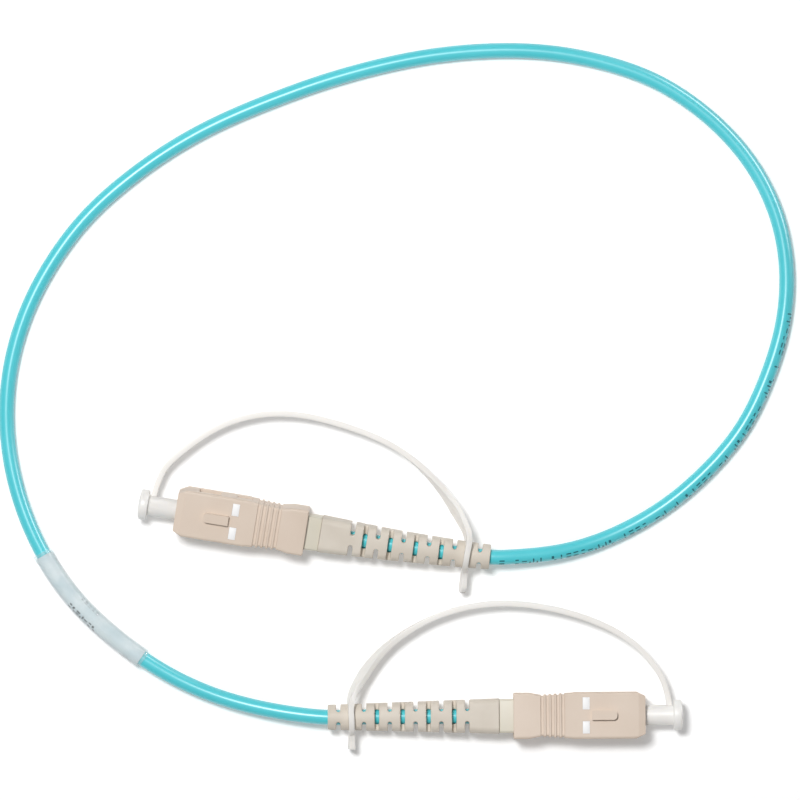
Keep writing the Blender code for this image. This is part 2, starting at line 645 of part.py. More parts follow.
def bend_mesh(item, bend):
    """Bakes an object's modifiers and bends what lies behind the boot's collar."""
    bpy.context.view_layer.update()
    evaluated = item.evaluated_get(bpy.context.evaluated_depsgraph_get())
    mesh = bpy.data.meshes.new_from_object(evaluated)
    for vertex in mesh.vertices:
        vertex.co = bent(vertex.co, bend)
    item.modifiers.clear()
    item.data = mesh


# Dust cap and tether.

def make_cap(name, parent):
    rim = CAP_RADIUS + CAP_FLANGE_RIM
    front = CAP_BARREL_OUT + CAP_FLANGE_LENGTH
    profile = [
        (front, CAP_FACE_RADIUS), (front - CAP_EDGE, rim - CAP_EDGE), (front - 2 * CAP_EDGE, rim),
        (CAP_BARREL_OUT, rim), (CAP_BARREL_OUT, CAP_RADIUS),
        (-CAP_BARREL_IN + CAP_EDGE, CAP_RADIUS), (-CAP_BARREL_IN, CAP_RADIUS - CAP_EDGE),
        (-CAP_BARREL_IN, CAP_BORE), (FERRULE_REACH + 2 * SEAT_GAP, CAP_BORE),
    ]
    place(name, turned(name, profile, through=False), parent, CAP_LOOK)


def smooth_curve(points, samples):
    """A natural cubic spline through points, as an array of samples on each span."""
    points = np.array(points, float)
    knots = np.r_[0, np.cumsum(np.sqrt(np.linalg.norm(np.diff(points, axis=0), axis=1)))]
    step = np.diff(knots)[:, None]
    slope = np.diff(points, axis=0) / step
    count = len(points)
    system = np.eye(count)
    right = np.zeros_like(points)
    for i in range(1, count - 1):
        system[i, i - 1 : i + 2] = step[i - 1, 0], 2 * (step[i - 1, 0] + step[i, 0]), step[i, 0]
        right[i] = 6 * (slope[i] - slope[i - 1])
    second = np.linalg.solve(system, right)
    spans = []
    for i in range(count - 1):
        u = np.linspace(0, step[i, 0], samples, endpoint=False)[:, None]
        h = step[i, 0]
        spans.append(
            points[i] + u * (slope[i] - h * (2 * second[i] + second[i + 1]) / 6)
            + u**2 * second[i] / 2 + u**3 * (second[i + 1] - second[i]) / (6 * h)
        )
    return np.vstack(spans + [points[-1:]])


def lengths_along(path):
    return np.r_[0, np.cumsum(np.linalg.norm(np.diff(path, axis=0), axis=1))]


def at_lengths(path, lengths):
    """Points of path at the given distances along it."""
    travelled = lengths_along(path)
    return np.column_stack([np.interp(lengths, travelled, path[:, axis]) for axis in range(3)])


def nearest_length(path, point):
    nearest = np.argmin(np.linalg.norm(path - np.array(point), axis=1))
    return lengths_along(path)[nearest]


def sideways(path):
    """Level unit vectors square to the path."""
    along = np.gradient(path, axis=0)
    across = np.column_stack([-along[:, 1], along[:, 0], np.zeros(len(path))])
    return across / np.linalg.norm(across, axis=1)[:, None]


def make_tether(name, parent, connector):
    """A strap on edge from the cap to a slit that the boot passes through."""
    to_world = parent.matrix_world
    side = connector["tether_side"]
    root_x = CAP_BARREL_OUT - SEAT_GAP - TETHER_THICKNESS / 2
    root = to_world @ Vector((root_x, side * (CAP_RADIUS + SEAT_GAP), 0))
    bend = math.radians(connector["boot_bend"])
    slit_local, _ = boot_centre(BOOT_TAIL + TETHER_FROM_TAIL, bend)
    behind_local, _ = boot_centre(BOOT_TAIL, bend)
    slit = to_world @ slit_local
    axis = (to_world @ behind_local - slit).normalized()
    out = Vector((axis.y, -axis.x, 0)).normalized() * side

    boot_half = boot_half_sizes(1 - TETHER_FROM_TAIL / BOOT_LENGTH)[0]
    slit_half_height = boot_half + SEAT_GAP
    slit_half_length = slit_half_height + TETHER_SLIT_ENDS
    eye_half_height = slit_half_height + TETHER_ARM
    eye_half_length = slit_half_length + TETHER_ARM

    chord = slit - root
    bow = Vector((-chord.y, chord.x, 0)).normalized()
    if bow.dot(out) < 0:
        bow = -bow
    route = [root]
    route += [root + chord * share + bow * offset * MM for share, offset in connector["tether_route"]]
    route += [slit + out * eye_half_length, slit, slit - out * connector["tether_end"]]
    path = smooth_curve([(p.x, p.y, TETHER_LEVEL) for p in route], 12)

    middle = nearest_length(path, (slit.x, slit.y, TETHER_LEVEL))
    end = lengths_along(path)[-1]
    eye_start, eye_end = middle - eye_half_length, middle + eye_half_length
    lengths = list(np.linspace(0, eye_start, 22, endpoint=False))
    turns = [math.pi * step / 12 for step in range(13)]
    lengths += [middle - eye_half_length * math.cos(turn) for turn in turns]
    lengths += [(eye_end + end) / 2, end]
    centres = at_lengths(path, np.array(lengths))
    across = sideways(centres) * TETHER_THICKNESS / 2

    bm = bmesh.new()
    rings = []
    for length, centre, half in zip(lengths, centres, across):
        low, high = TETHER_LEVEL - TETHER_HEIGHT / 2, TETHER_LEVEL + TETHER_HEIGHT / 2
        share = (length - middle) / eye_half_length
        if abs(share) < 1:
            bulge = eye_half_height * math.sqrt(1 - share**2)
            low, high = min(low, slit.z - bulge), max(high, slit.z + bulge)
        near, far = centre - half, centre + half
        rings.append([
            bm.verts.new((near[0], near[1], low)), bm.verts.new((far[0], far[1], low)),
            bm.verts.new((far[0], far[1], high)), bm.verts.new((near[0], near[1], high)),
        ])
    bm.faces.new(rings[0])
    bm.faces.new(rings[-1])
    for near, far in zip(rings, rings[1:]):
        for i in range(4):
            bm.faces.new((near[i], near[i - 1], far[i - 1], far[i]))
    tether = place(name, mesh_from(name, bm), None, CAP_LOOK)

    cutter = bmesh.new()
    turns = [2 * math.pi * step / 20 for step in range(20)]
    outline = [(slit_half_length * math.cos(t), slit_half_height * math.sin(t)) for t in turns]
    facing = Matrix((out, Vector((0, 0, 1)), out.cross(Vector((0, 0, 1))))).transposed().to_4x4()
    turn = Matrix.Translation(slit) @ facing
    add_prism(cutter, outline, -2 * TETHER_THICKNESS, 2 * TETHER_THICKNESS, turn)
    boolean(tether, name + "_slit", cutter, "DIFFERENCE")


# Connectors.

def connector_empty(name, connector):
    """The connector's own frame, placed so that its boot ends where the cable leaves it."""
    empty = bpy.data.objects.new(name, None)
    bpy.context.scene.collection.objects.link(empty)
    roll, heading = math.radians(connector["roll"]), math.radians(connector["heading"])
    turn = Matrix.Rotation(heading, 4, "Z") @ Matrix.Rotation(roll, 4, "X")
    tail = turn @ boot_centre(BOOT_TAIL, math.radians(connector["boot_bend"]))[0]
    lean = (GRIP_HALF_WIDTH - GRIP_CORNER) * abs(math.sin(roll))
    height = lean + (GRIP_HALF_HEIGHT - GRIP_CORNER) * math.cos(roll) + GRIP_CORNER
    x, y = (value * MM for value in connector["tail"])
    empty.matrix_world = Matrix.Translation((x - tail.x, y - tail.y, height)) @ turn
    bpy.context.view_layer.update()
    return empty


def make_connector(letter, connector):
    empty = connector_empty("connector_" + letter, connector)
    bend = math.radians(connector["boot_bend"])
    make_grip("outer_housing_" + letter, empty)
    make_frame("plug_frame_" + letter, empty)
    make_ferrule("ferrule_" + letter, empty)
    make_collar("ferrule_collar_" + letter, empty)
    make_spring("spring_" + letter, empty)
    make_backbone("backbone_" + letter, empty)
    make_crimp(letter, empty)
    make_buffered_fibre("buffered_fibre_" + letter, empty)
    make_boot("boot_" + letter, empty, bend)
    make_cap("dust_cap_" + letter, empty)
    make_tether("cap_tether_" + letter, empty, connector)
    inside = [CABLE_FRONT + (BOOT_TAIL - CABLE_FRONT) * step / 4 for step in range(5)]
    return [tuple(empty.matrix_world @ boot_centre(x, bend)[0]) for x in inside]


# Cable and label.

def make_cable(from_a, from_b):
    """The jacket from one crimp to the other. Returns the points of its centre line."""
    route = from_a + [tuple(value * MM for value in point) for point in CABLE_ROUTE] + from_b[::-1]
    path = smooth_curve(route, 24)
    total = lengths_along(path)[-1]
    count = round(total / (CABLE_POINT_SPACING * CABLE_DIAMETER)) + 1
    points = at_lengths(path, np.linspace(0, total, count))
    make_wire("cable_jacket", points, CABLE_RADIUS, 2, None, JACKET_LOOK)
    return points


def make_sleeve(name, path, start, end, inner, wall, look):
    """A tube around the cable between two lengths along it, jointed where the cable is."""
    lengths = lengths_along(path)
    between = lengths[(lengths > start + CABLE_RADIUS) & (lengths < end - CABLE_RADIUS)]
    centres = at_lengths(path, np.r_[start, between, end])
    across = sideways(centres)
    sides = 16
    bm = bmesh.new()
    rings = []
    for radius, order in ((inner + wall, 1), (inner, -1)):
        for centre, out in list(zip(centres, across))[::order]:
            ring = []
            for side in range(sides):
                angle = 2 * math.pi * side / sides
                up = np.array((0, 0, radius * math.sin(angle)))
                ring.append(bm.verts.new(centre + out * radius * math.cos(angle) + up))
            rings.append(ring)
    for near, far in zip(rings, rings[1:] + rings[:1]):
        for i in range(sides):
            bm.faces.new((near[i], near[i - 1], far[i - 1], far[i]))
    place(name, mesh_from(name, bm), None, look)


def make_label(path, boot_tail):
    end = nearest_length(path, boot_tail) - LABEL_FROM_BOOT
    start = end - LABEL_LENGTH
    make_sleeve("label_sleeve", path, start, end, SLEEVE_INNER, LABEL_SLEEVE, SLEEVE_LOOK)
    make_sleeve(
        "label_insert", path, start + PAPER_INSET, end - PAPER_INSET,
        PAPER_INNER, LABEL_PAPER, PAPER_LOOK,
    )


def main():
    clear_scene()
    inside = {letter: make_connector(letter, connector) for letter, connector in CONNECTORS.items()}
    path = make_cable(inside["a"], inside["b"])
    make_label(path, inside["b"][-1])


main()
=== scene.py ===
# Fibre optic patch cord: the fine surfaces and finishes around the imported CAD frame.
import json
import math

import bpy
import numpy as np
from mathutils import Matrix, Vector


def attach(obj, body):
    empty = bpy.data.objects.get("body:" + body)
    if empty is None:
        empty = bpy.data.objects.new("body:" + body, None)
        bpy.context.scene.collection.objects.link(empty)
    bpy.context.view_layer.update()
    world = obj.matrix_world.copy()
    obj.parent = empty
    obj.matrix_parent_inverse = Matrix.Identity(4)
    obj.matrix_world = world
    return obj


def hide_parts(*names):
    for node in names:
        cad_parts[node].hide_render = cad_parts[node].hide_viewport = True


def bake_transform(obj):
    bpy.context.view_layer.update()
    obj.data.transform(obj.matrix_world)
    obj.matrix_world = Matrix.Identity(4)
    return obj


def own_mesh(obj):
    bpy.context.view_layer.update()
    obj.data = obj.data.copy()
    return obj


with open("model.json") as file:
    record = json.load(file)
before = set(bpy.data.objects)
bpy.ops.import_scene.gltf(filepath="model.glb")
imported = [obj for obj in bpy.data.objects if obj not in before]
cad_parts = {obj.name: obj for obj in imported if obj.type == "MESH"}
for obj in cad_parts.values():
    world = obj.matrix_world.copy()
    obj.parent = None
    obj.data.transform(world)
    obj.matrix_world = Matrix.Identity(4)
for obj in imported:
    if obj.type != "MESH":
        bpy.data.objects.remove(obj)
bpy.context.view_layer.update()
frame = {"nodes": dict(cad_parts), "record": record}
bpy.ops.object.select_all(action="DESELECT")
mm = 0.001
mounts = {mount["name"]: mount for mount in frame["record"]["mounts"]}
print("frame loaded:", len(frame["nodes"]), "nodes")


# Where the two connectors lie.

connectors = {
    "a": {
        "roll": -7.0,  # degrees about the plug's own axis
        "bootBend": 3.3,  # degrees that the boot turns behind its collar
        "tetherSide": -1,
        "tetherEnd": 7.5,  # strap past the boot, mm
        "roundTip": True,
        "tetherRoute": [  # (share of the straight line, mm out from it)
            (0.014, 4.7), (0.055, 8.7), (0.124, 13.3), (0.197, 16.7), (0.324, 19.7), (0.461, 20.3),
            (0.577, 19.6), (0.682, 18.4), (0.781, 15.9), (0.860, 12.7), (0.917, 9.7), (0.966, 6.3),
        ],
    },
    "b": {
        "roll": -2.5,
        "bootBend": 0.0,
        "tetherSide": 1,
        "tetherEnd": 6.2,
        "roundTip": False,
        "tetherRoute": [
            (0.015, 4.3), (0.049, 8.1), (0.099, 11.8), (0.179, 15.1), (0.290, 18.0), (0.402, 19.8),
            (0.507, 20.6), (0.627, 20.1), (0.742, 18.1), (0.835, 15.2), (0.907, 11.9), (0.957, 8.0),
        ],
    },
}
faceHeight = 3.2 * mm  # mount point above the plug's axis


def connectorFrame(letter):
    mount = mounts["adapter_face_" + letter]
    forward = Vector(mount["axis"])
    turn = Matrix.Rotation(math.atan2(forward.y, forward.x), 4, "Z")
    turn = turn @ Matrix.Rotation(math.radians(connectors[letter]["roll"]), 4, "X")
    start = Vector(mount["pos_m"]) - turn @ Vector((0, 0, faceHeight))
    return Matrix.Translation(start) @ turn


# Lowest and highest corner of a CAD node along its connector's own axes.
def ownBox(node, letter):
    back = connectorFrame(letter).inverted()
    corners = np.array([back @ v.co for v in frame["nodes"][node].data.vertices])
    return Vector(corners.min(axis=0)), Vector(corners.max(axis=0))


gripLow, gripHigh = ownBox("outer_housing_b", "b")
bootLow, bootHigh = ownBox("boot_b", "b")
blockLow, blockHigh = ownBox("backbone_b", "b")
springLow, springHigh = ownBox("spring_b", "b")


# Modelling helpers.

def clearSelection():
    if bpy.context.object and bpy.context.object.mode != "OBJECT":
        bpy.ops.object.mode_set(mode="OBJECT")
    bpy.ops.object.select_all(action="DESELECT")


def pick(piece):
    clearSelection()
    piece.select_set(True)
    bpy.context.view_layer.objects.active = piece


def applyTransform():
    bpy.ops.object.transform_apply(location=True, rotation=True, scale=True)


def editAll():
    bpy.ops.object.mode_set(mode="EDIT")
    bpy.ops.mesh.select_all(action="SELECT")


# A rounded rectangle across X, left in edit mode with its face selected.
def startSection(name, x, halfWidth, halfHeight, corner, steps):
    clearSelection()
    bpy.ops.mesh.primitive_plane_add(size=2, location=(x, 0, 0), rotation=(0, math.pi / 2, 0))
    applyTransform()
    bpy.context.object.name = name
    editAll()
    bpy.ops.transform.resize(value=(1, halfWidth, halfHeight))
    bpy.ops.mesh.bevel(offset=corner, segments=steps, affect="VERTICES")


# A disc across X, left in edit mode with its face selected.
def startRound(name, x, radius, sides=64):
    clearSelection()
    bpy.ops.mesh.primitive_circle_add(
        vertices=sides, radius=radius, fill_type="NGON", location=(x, 0, 0), rotation=(0, math.pi / 2, 0))
    applyTransform()
    bpy.context.object.name = name
    editAll()


# Extrudes the selected end through (x, half width, half height).
def pushOn(start, stops):
    for stop in stops:
        bpy.ops.mesh.extrude_region_move(TRANSFORM_OT_translate={"value": (stop[0] - start[0], 0, 0)})
        bpy.ops.transform.resize(value=(1, stop[1] / start[1], stop[2] / start[2]))
        start = stop


# Leaves edit mode with the normals turned outwards, and returns the piece.
def closeUp():
    bpy.ops.mesh.select_all(action="SELECT")
    bpy.ops.mesh.normals_make_consistent(inside=False)
    bpy.ops.object.mode_set(mode="OBJECT")
    return bpy.context.object


# A round solid from (x, radius) pairs, in mm.
def turned(name, profile, sides=64):
    stops = [(x * mm, radius * mm, radius * mm) for x, radius in profile]
    startRound(name, stops[0][0], stops[0][1], sides)
    pushOn(stops[0], stops[1:])
    return closeUp()


# A box between pairs of x, y and z, in mm.
def addBox(name, x, y, z):
    clearSelection()
    middle = [(low + high) / 2 * mm for low, high in (x, y, z)]
    bpy.ops.mesh.primitive_cube_add(size=1, location=middle)
    box = bpy.context.object
    box.name = name
    box.scale = [abs(high - low) * mm for low, high in (x, y, z)]
    applyTransform()
    return box


# A straight rod along X, or a tube with open ends, with rings of points down its length.
def addRod(name, start, end, radius, sides, rings, ends="NGON"):
    clearSelection()
    bpy.ops.mesh.primitive_cylinder_add(
        vertices=sides, radius=radius, depth=end - start, end_fill_type=ends,
        location=((start + end) / 2, 0, 0), rotation=(0, math.pi / 2, 0))
    applyTransform()
    rod = bpy.context.object
    rod.name = name
    for ring in range(1, rings):
        editAll()
        bpy.ops.mesh.bisect(plane_co=(start + (end - start) * ring / rings, 0, 0), plane_no=(1, 0, 0))
    bpy.ops.object.mode_set(mode="OBJECT")
    return rod


def applyModifier(piece, kind, **settings):
    pick(piece)
    modifier = piece.modifiers.new(kind.lower(), kind)
    for key, value in settings.items():
        setattr(modifier, key, value)
    bpy.ops.object.modifier_apply(modifier=modifier.name)


def combine(piece, tool, operation):
    applyModifier(piece, "BOOLEAN", operation=operation, object=tool, solver="EXACT")
    bpy.data.objects.remove(tool, do_unlink=True)


# Rounds the edges that turn more sharply than 50 degrees.
def easeEdges(piece, width, steps):
    applyModifier(piece, "BEVEL", width=width * mm, segments=steps, limit_method="ANGLE",
                  angle_limit=math.radians(50), use_clamp_overlap=True)


def join(pieces):
    clearSelection()
    for piece in pieces:
        piece.select_set(True)
    bpy.context.view_layer.objects.active = pieces[0]
    bpy.ops.object.join()
    return pieces[0]


def smooth(piece, angle=35):
    pick(piece)
    bpy.ops.object.shade_smooth_by_angle(angle=math.radians(angle))


def points(piece):
    found = np.empty(len(piece.data.vertices) * 3)
    piece.data.vertices.foreach_get("co", found)
    return found.reshape(-1, 3)


def setPoints(piece, moved):
    piece.data.vertices.foreach_set("co", np.asarray(moved, float).ravel())
    piece.data.update()


# A copy with a mesh of its own, named after its connector.
def copyFor(piece, letter):
    twin = piece.copy()
    twin.data = piece.data.copy()
    twin.name = f"{piece.name}_{letter}"
    bpy.context.scene.collection.objects.link(twin)
    return twin


def layDown(piece, letter):
    pick(piece)
    piece.matrix_world = connectorFrame(letter)
    applyTransform()


def finishPiece(piece, material, body, slot, *nodes):
    piece.data.materials.clear()
    piece.data.materials.append(material)
    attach(piece, body)
    if nodes:
        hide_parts(*nodes)


# Materials.

def linearColour(code):
    channels = [int(code[i:i + 2], 16) / 255 for i in (1, 3, 5)]
    return [c / 12.92 if c <= 0.04045 else ((c + 0.055) / 1.055) ** 2.4 for c in channels] + [1.0]


def newMaterial(name, **shader):
    material = bpy.data.materials.new(name)
    material.use_nodes = True
    tree = material.node_tree
    principled = tree.nodes["Principled BSDF"]
    for key, value in shader.items():
        principled.inputs[key.replace("_", " ")].default_value = value
    return material, tree, principled


def addNode(tree, kind, values=None, links=None, **settings):
    node = tree.nodes.new(kind)
    for key, value in settings.items():
        setattr(node, key, value)
    for socket, value in (values or {}).items():
        node.inputs[socket].default_value = value
    for socket, source in (links or {}).items():
        tree.links.new(source, node.inputs[socket])
    return node


# A slow drift between colours, about size mm across.
def mottle(tree, where, colours, size):
    noise = addNode(
        tree, "ShaderNodeTexNoise", {"Scale": 1 / (size * mm), "Detail": 3.0}, {"Vector": where})
    ramp = addNode(tree, "ShaderNodeValToRGB", links={"Fac": noise.outputs["Fac"]})
    ramp.color_ramp.elements[0].position = 0.32
    ramp.color_ramp.elements[1].position = 0.68
    for element, colour in zip(ramp.color_ramp.elements, colours):
        element.color = linearColour(colour)
    return ramp.outputs["Color"]


# Bump from a grain of that size and depth, in mm.
def grain(tree, where, size, depth, strength=1.0, detail=2.0):
    noise = addNode(
        tree, "ShaderNodeTexNoise", {"Scale": 1 / (size * mm), "Detail": detail}, {"Vector": where})
    bump = addNode(
        tree, "ShaderNodeBump", {"Strength": strength, "Distance": depth * mm},
        {"Height": noise.outputs["Fac"]})
    return bump.outputs["Normal"], noise.outputs["Fac"]


def joinUp(tree, principled, **sources):
    for socket, source in sources.items():
        tree.links.new(source, principled.inputs[socket.replace("_", " ")])


# A drift of colour, a fine grain, and gloss that follows the grain; sizes in mm.
def grainedMaterial(name, colours, drift, roughness, spread, grainSize, grainDepth, detail=2.0, **shader):
    material, tree, principled = newMaterial(name, **shader)
    where = addNode(tree, "ShaderNodeTexCoord").outputs["Object"]
    normal, height = grain(tree, where, grainSize, grainDepth, detail=detail)
    gloss = addNode(
        tree, "ShaderNodeMapRange", {"To Min": roughness - spread, "To Max": roughness + spread},
        {"Value": height})
    joinUp(tree, principled, Base_Color=mottle(tree, where, colours, drift),
           Roughness=gloss.outputs["Result"], Normal=normal)
    return material


# A moulded plastic with a spark-eroded grain.
def mouldedPlastic(name, colours, roughness, grainSize, grainDepth, drift=9.0, **shader):
    return grainedMaterial(name, colours, drift, roughness, 0.07, grainSize, grainDepth, **shader)


# A bare or plated metal with fine tool marks.
def metalMaterial(name, colours, roughness, lineSize, lineDepth):
    return grainedMaterial(name, colours, 1.5, roughness, 0.08, lineSize, lineDepth, detail=4.0, Metallic=1.0)


# Injection-moulded PBT, spark-eroded tool: soft matt beige with a fine even grain.
gripPbt = mouldedPlastic("mouldedBeigePbt", ("#d8c6b5", "#decdbd"), 0.46, 0.16, 0.010)
# The same plastic uncoloured: cream, a little greener.
backbonePbt = mouldedPlastic("mouldedCreamPbt", ("#d7d1c0", "#dfd9ca"), 0.45, 0.16, 0.008)
framePbt = mouldedPlastic("mouldedWhitePbt", ("#e6e3da", "#eeebe3"), 0.42, 0.16, 0.006)
# Thermoplastic elastomer: satin, softer highlights than the grip.
bootElastomer = mouldedPlastic("mouldedElastomer", ("#d3c9bb", "#dcd3c6"), 0.55, 0.22, 0.014, drift=6.0)
# Low-density polyethylene: waxy white that lets some light in. The strap's copy is painted a shade darker
# than the cap: painted shade, which keeps its flat, brightly lit top from washing out white.
waxy = {"Subsurface_Weight": 0.25, "Subsurface_Radius": (0.9, 0.85, 0.75), "Subsurface_Scale": 0.0008}
capPolyethylene = mouldedPlastic(
    "mouldedPolyethylene", ("#f2efeb", "#f8f6f3"), 0.36, 0.30, 0.006, **waxy)
# painted shade: the strap's copy of the cap's polyethylene is darker, for its brightly lit top face
shadedStrapPolyethylene = mouldedPlastic(
    "shadedMouldedPolyethylene", ("#edeae5", "#f1eeea"), 0.44, 0.30, 0.006, **waxy)
# Screen-printed epoxy: flat white, slightly raised brush-free film.
markPaint = mouldedPlastic("printedWhiteEpoxy", ("#f4f4f4", "#fbfbfb"), 0.5, 0.12, 0.004)
bufferCoat = mouldedPlastic("extrudedAquaBuffer", ("#2aa7ad", "#33b3b9"), 0.4, 0.2, 0.004)


# Extruded flame-retardant polyolefin: even aqua, satin, with faint die lines along its length.
def jacketMaterial():
    material, tree, principled = newMaterial("extrudedAquaJacket", Coat_Weight=0.5, Coat_Roughness=0.26)
    alongCable = addNode(tree, "ShaderNodeUVMap", uv_map="alongCable").outputs["UV"]
    lineLength, lineWidth = 14 * mm, 0.22 * mm
    lines = addNode(
        tree, "ShaderNodeMapping", {"Scale": (1 / lineLength, 1 / lineWidth, 1)}, {"Vector": alongCable})
    dieLines = addNode(
        tree, "ShaderNodeTexNoise", {"Scale": 1.0, "Detail": 2.0}, {"Vector": lines.outputs["Vector"]})
    where = addNode(tree, "ShaderNodeTexCoord").outputs["Object"]
    colour = mottle(tree, where, ("#50d0db", "#57d5e0"), 14.0)
    bump = addNode(
        tree, "ShaderNodeBump", {"Strength": 0.6, "Distance": 0.008 * mm},
        {"Height": dieLines.outputs["Fac"]})
    gloss = addNode(
        tree, "ShaderNodeMapRange", {"To Min": 0.30, "To Max": 0.40}, {"Value": dieLines.outputs["Fac"]})
    joinUp(tree, principled, Base_Color=colour, Roughness=gloss.outputs["Result"],
           Normal=bump.outputs["Normal"])
    return material


# Ink-jet print: flat and a little uneven, so its density drifts.
def inkMaterial(name, colours, roughness):
    material, tree, principled = newMaterial(name, Roughness=roughness)
    where = addNode(tree, "ShaderNodeTexCoord").outputs["Object"]
    joinUp(tree, principled, Base_Color=mottle(tree, where, colours, 0.35))
    return material


# Coated label stock: matt blue-white with a faint fibre mottle.
def paperMaterial():
    material, tree, principled = newMaterial("coatedLabelPaper", Roughness=0.75)
    where = addNode(tree, "ShaderNodeTexCoord").outputs["Object"]
    colour = mottle(tree, where, ("#cfe0e5", "#e6f0f2"), 3.0)
    joinUp(tree, principled, Base_Color=colour, Normal=grain(tree, where, 0.25, 0.006)[0])
    return material


# Aramid yarn: straight gold filaments with a silky sheen, drawn coarser than life so that they show.
def aramidMaterial():
    material, tree, principled = newMaterial("spunAramidYarn", Roughness=0.6, Sheen_Weight=0.3)
    where = addNode(tree, "ShaderNodeTexCoord").outputs["Object"]
    strands, _ = grain(tree, where, 0.12, 0.03, strength=0.8, detail=4.0)
    joinUp(tree, principled, Base_Color=mottle(tree, where, ("#c79a2e", "#e3bd55"), 0.3), Normal=strands)
    return material


jacketPolyolefin = jacketMaterial()
jacketInk = inkMaterial("jettedJacketInk", ("#155f6b", "#1f7682"), 0.5)
labelInk = inkMaterial("printedLabelInk", ("#23282c", "#343a3f"), 0.6)
labelGreyInk = inkMaterial("printedGreyInk", ("#8c969c", "#a3adb2"), 0.6)
labelPaper = paperMaterial()
# Clear polyolefin shrink tube: a thin, faintly milky skin with a soft gloss.
sleeveClear = grainedMaterial(
    "clearShrinkTube", ("#dce8ec", "#eef4f6"), 2.5, 0.24, 0.08, 1.6, 0.02, detail=0.0,
    Alpha=0.13, IOR=1.49, Coat_Weight=0.3)
# Sintered and ground zirconia: milky white under a polished, glassy skin.
zirconia = grainedMaterial(
    "polishedZirconia", ("#eceae4", "#f3f1ec"), 2.0, 0.12, 0.04, 0.1, 0.001,
    IOR=2.1, Subsurface_Weight=0.15, Subsurface_Scale=0.0004)
nickelPlate = metalMaterial("platedNickelBrass", ("#cfc8bb", "#d9d3c8"), 0.24, 0.12, 0.002)
drawnSteel = metalMaterial("drawnSpringSteel", ("#bfc1c3", "#cdced0"), 0.26, 0.08, 0.002)
crimpAluminium = metalMaterial("crimpedAluminium", ("#c4c6c8", "#d2d4d5"), 0.36, 0.25, 0.010)
aramid = aramidMaterial()
print("materials made")


# The view.

view = {
    "middle": (-2.0, 34.5),  # what the camera looks at, mm
    "height": 1600.0,  # camera above the table, mm
    "across": 153.85,  # table width that fills the picture, mm
}


def makeView():
    clearSelection()
    place = Vector((*view["middle"], view["height"])) * mm
    bpy.ops.object.camera_add(location=place, rotation=(0, 0, 0))
    camera = bpy.context.object
    camera.data.lens = camera.data.sensor_width * view["height"] / view["across"]
    camera.data.clip_start = 0.01
    bpy.context.scene.camera = camera


lights = {
    # name: place in mm, size in mm, watts
    "key": ((-200, 260, 1000), (230, 230), 8.3),
    "rim": ((520, 420, 240), (600, 26), 5.0),  # only its reflections count
    "fill": ((-300, -250, 700), (500, 500), 0.25),
}
studio = {
    "lampsAimAt": (0, 30, 0),  # mm
    "tableSize": 6.0,  # metres
    "tableDrop": 0.02,  # mm below the object
    "tableGlow": 0.17,  # keeps the table white
    "roomLight": 0.20,
}


def makeStage():
    clearSelection()
    bpy.ops.mesh.primitive_plane_add(
        size=studio["tableSize"], location=(0, 0, -studio["tableDrop"] * mm))
    floor = bpy.context.object
    floor.name = "floor"
    material, tree, principled = newMaterial(
        "litWhiteTable", Roughness=0.9, Emission_Color=(1, 1, 1, 1), Emission_Strength=studio["tableGlow"])
    where = addNode(tree, "ShaderNodeTexCoord").outputs["Object"]
    joinUp(tree, principled, Base_Color=mottle(tree, where, ("#f6f6f6", "#f8f8f8"), 60.0))
    floor.data.materials.append(material)
    for name, (place, size, watts) in lights.items():
        bpy.ops.object.light_add(type="AREA", location=[value * mm for value in place])
        lamp = bpy.context.object
        lamp.name = name
        lamp.data.shape = "RECTANGLE"
        lamp.data.size, lamp.data.size_y = size[0] * mm, size[1] * mm
        lamp.data.energy = watts
        lamp.visible_diffuse = name != "rim"
        aim = Vector(studio["lampsAimAt"]) * mm - lamp.location
        lamp.rotation_euler = aim.to_track_quat("-Z", "Y").to_euler()
    world = bpy.data.worlds.new("studio")
    bpy.context.scene.world = world
    world.use_nodes = True
    background = world.node_tree.nodes["Background"]
    background.inputs["Color"].default_value = (1, 1, 1, 1)
    background.inputs["Strength"].default_value = studio["roomLight"]
    bpy.context.scene.view_settings.view_transform = "Standard"


makeView()
makeStage()
print("camera, lights and floor made")


# The cable.

cable = {
    "diameter": 2.9,
    "sides": 24,
    "ringSpacing": 1.2,
    "samples": 24,  # of the curve, from one point of the route to the next
    "collar": 5.3,  # straight stretch of the boot, mm
    "route": [  # its centre between the two boots, in metres
        (0.0192, 0.0044, 0.004), (0.0269, 0.0051, 0.0031), (0.0349, 0.007, 0.0021),
        (0.0428, 0.0104, 0.0016), (0.0504, 0.0152, 0.0015), (0.0575, 0.0215, 0.0015),
        (0.0637, 0.0291, 0.0015), (0.0682, 0.0381, 0.0015), (0.0713, 0.048, 0.0015),
        (0.0723, 0.0584, 0.0015), (0.0707, 0.0688, 0.0015), (0.0664, 0.0784, 0.0015),
        (0.0598, 0.0866, 0.0015), (0.0517, 0.0931, 0.0015), (0.0427, 0.0976, 0.0015),
        (0.0287, 0.101, 0.0015), (0.0155, 0.1016, 0.0015), (0.0035, 0.1005, 0.0015),
        (-0.0073, 0.0983, 0.0015), (-0.0174, 0.0954, 0.0015), (-0.0273, 0.0918, 0.0015),
        (-0.0375, 0.0874, 0.0015), (-0.048, 0.0814, 0.0015), (-0.0586, 0.0732, 0.0015),
        (-0.0652, 0.0661, 0.0015), (-0.0708, 0.0576, 0.0015), (-0.075, 0.048, 0.0015),
        (-0.0773, 0.0374, 0.0015), (-0.0773, 0.0264, 0.0015), (-0.075, 0.0154, 0.00175),
        (-0.0706, 0.0051, 0.0021), (-0.0642, -0.0041, 0.00215), (-0.0558, -0.0119, 0.00215),
        (-0.0466, -0.0181, 0.00215), (-0.0364, -0.0226, 0.0024), (-0.0258, -0.0252, 0.0031),
    ],
}
bootTail = bootLow.x
bootFront = bootHigh.x
collarRear = bootFront - cable["collar"] * mm


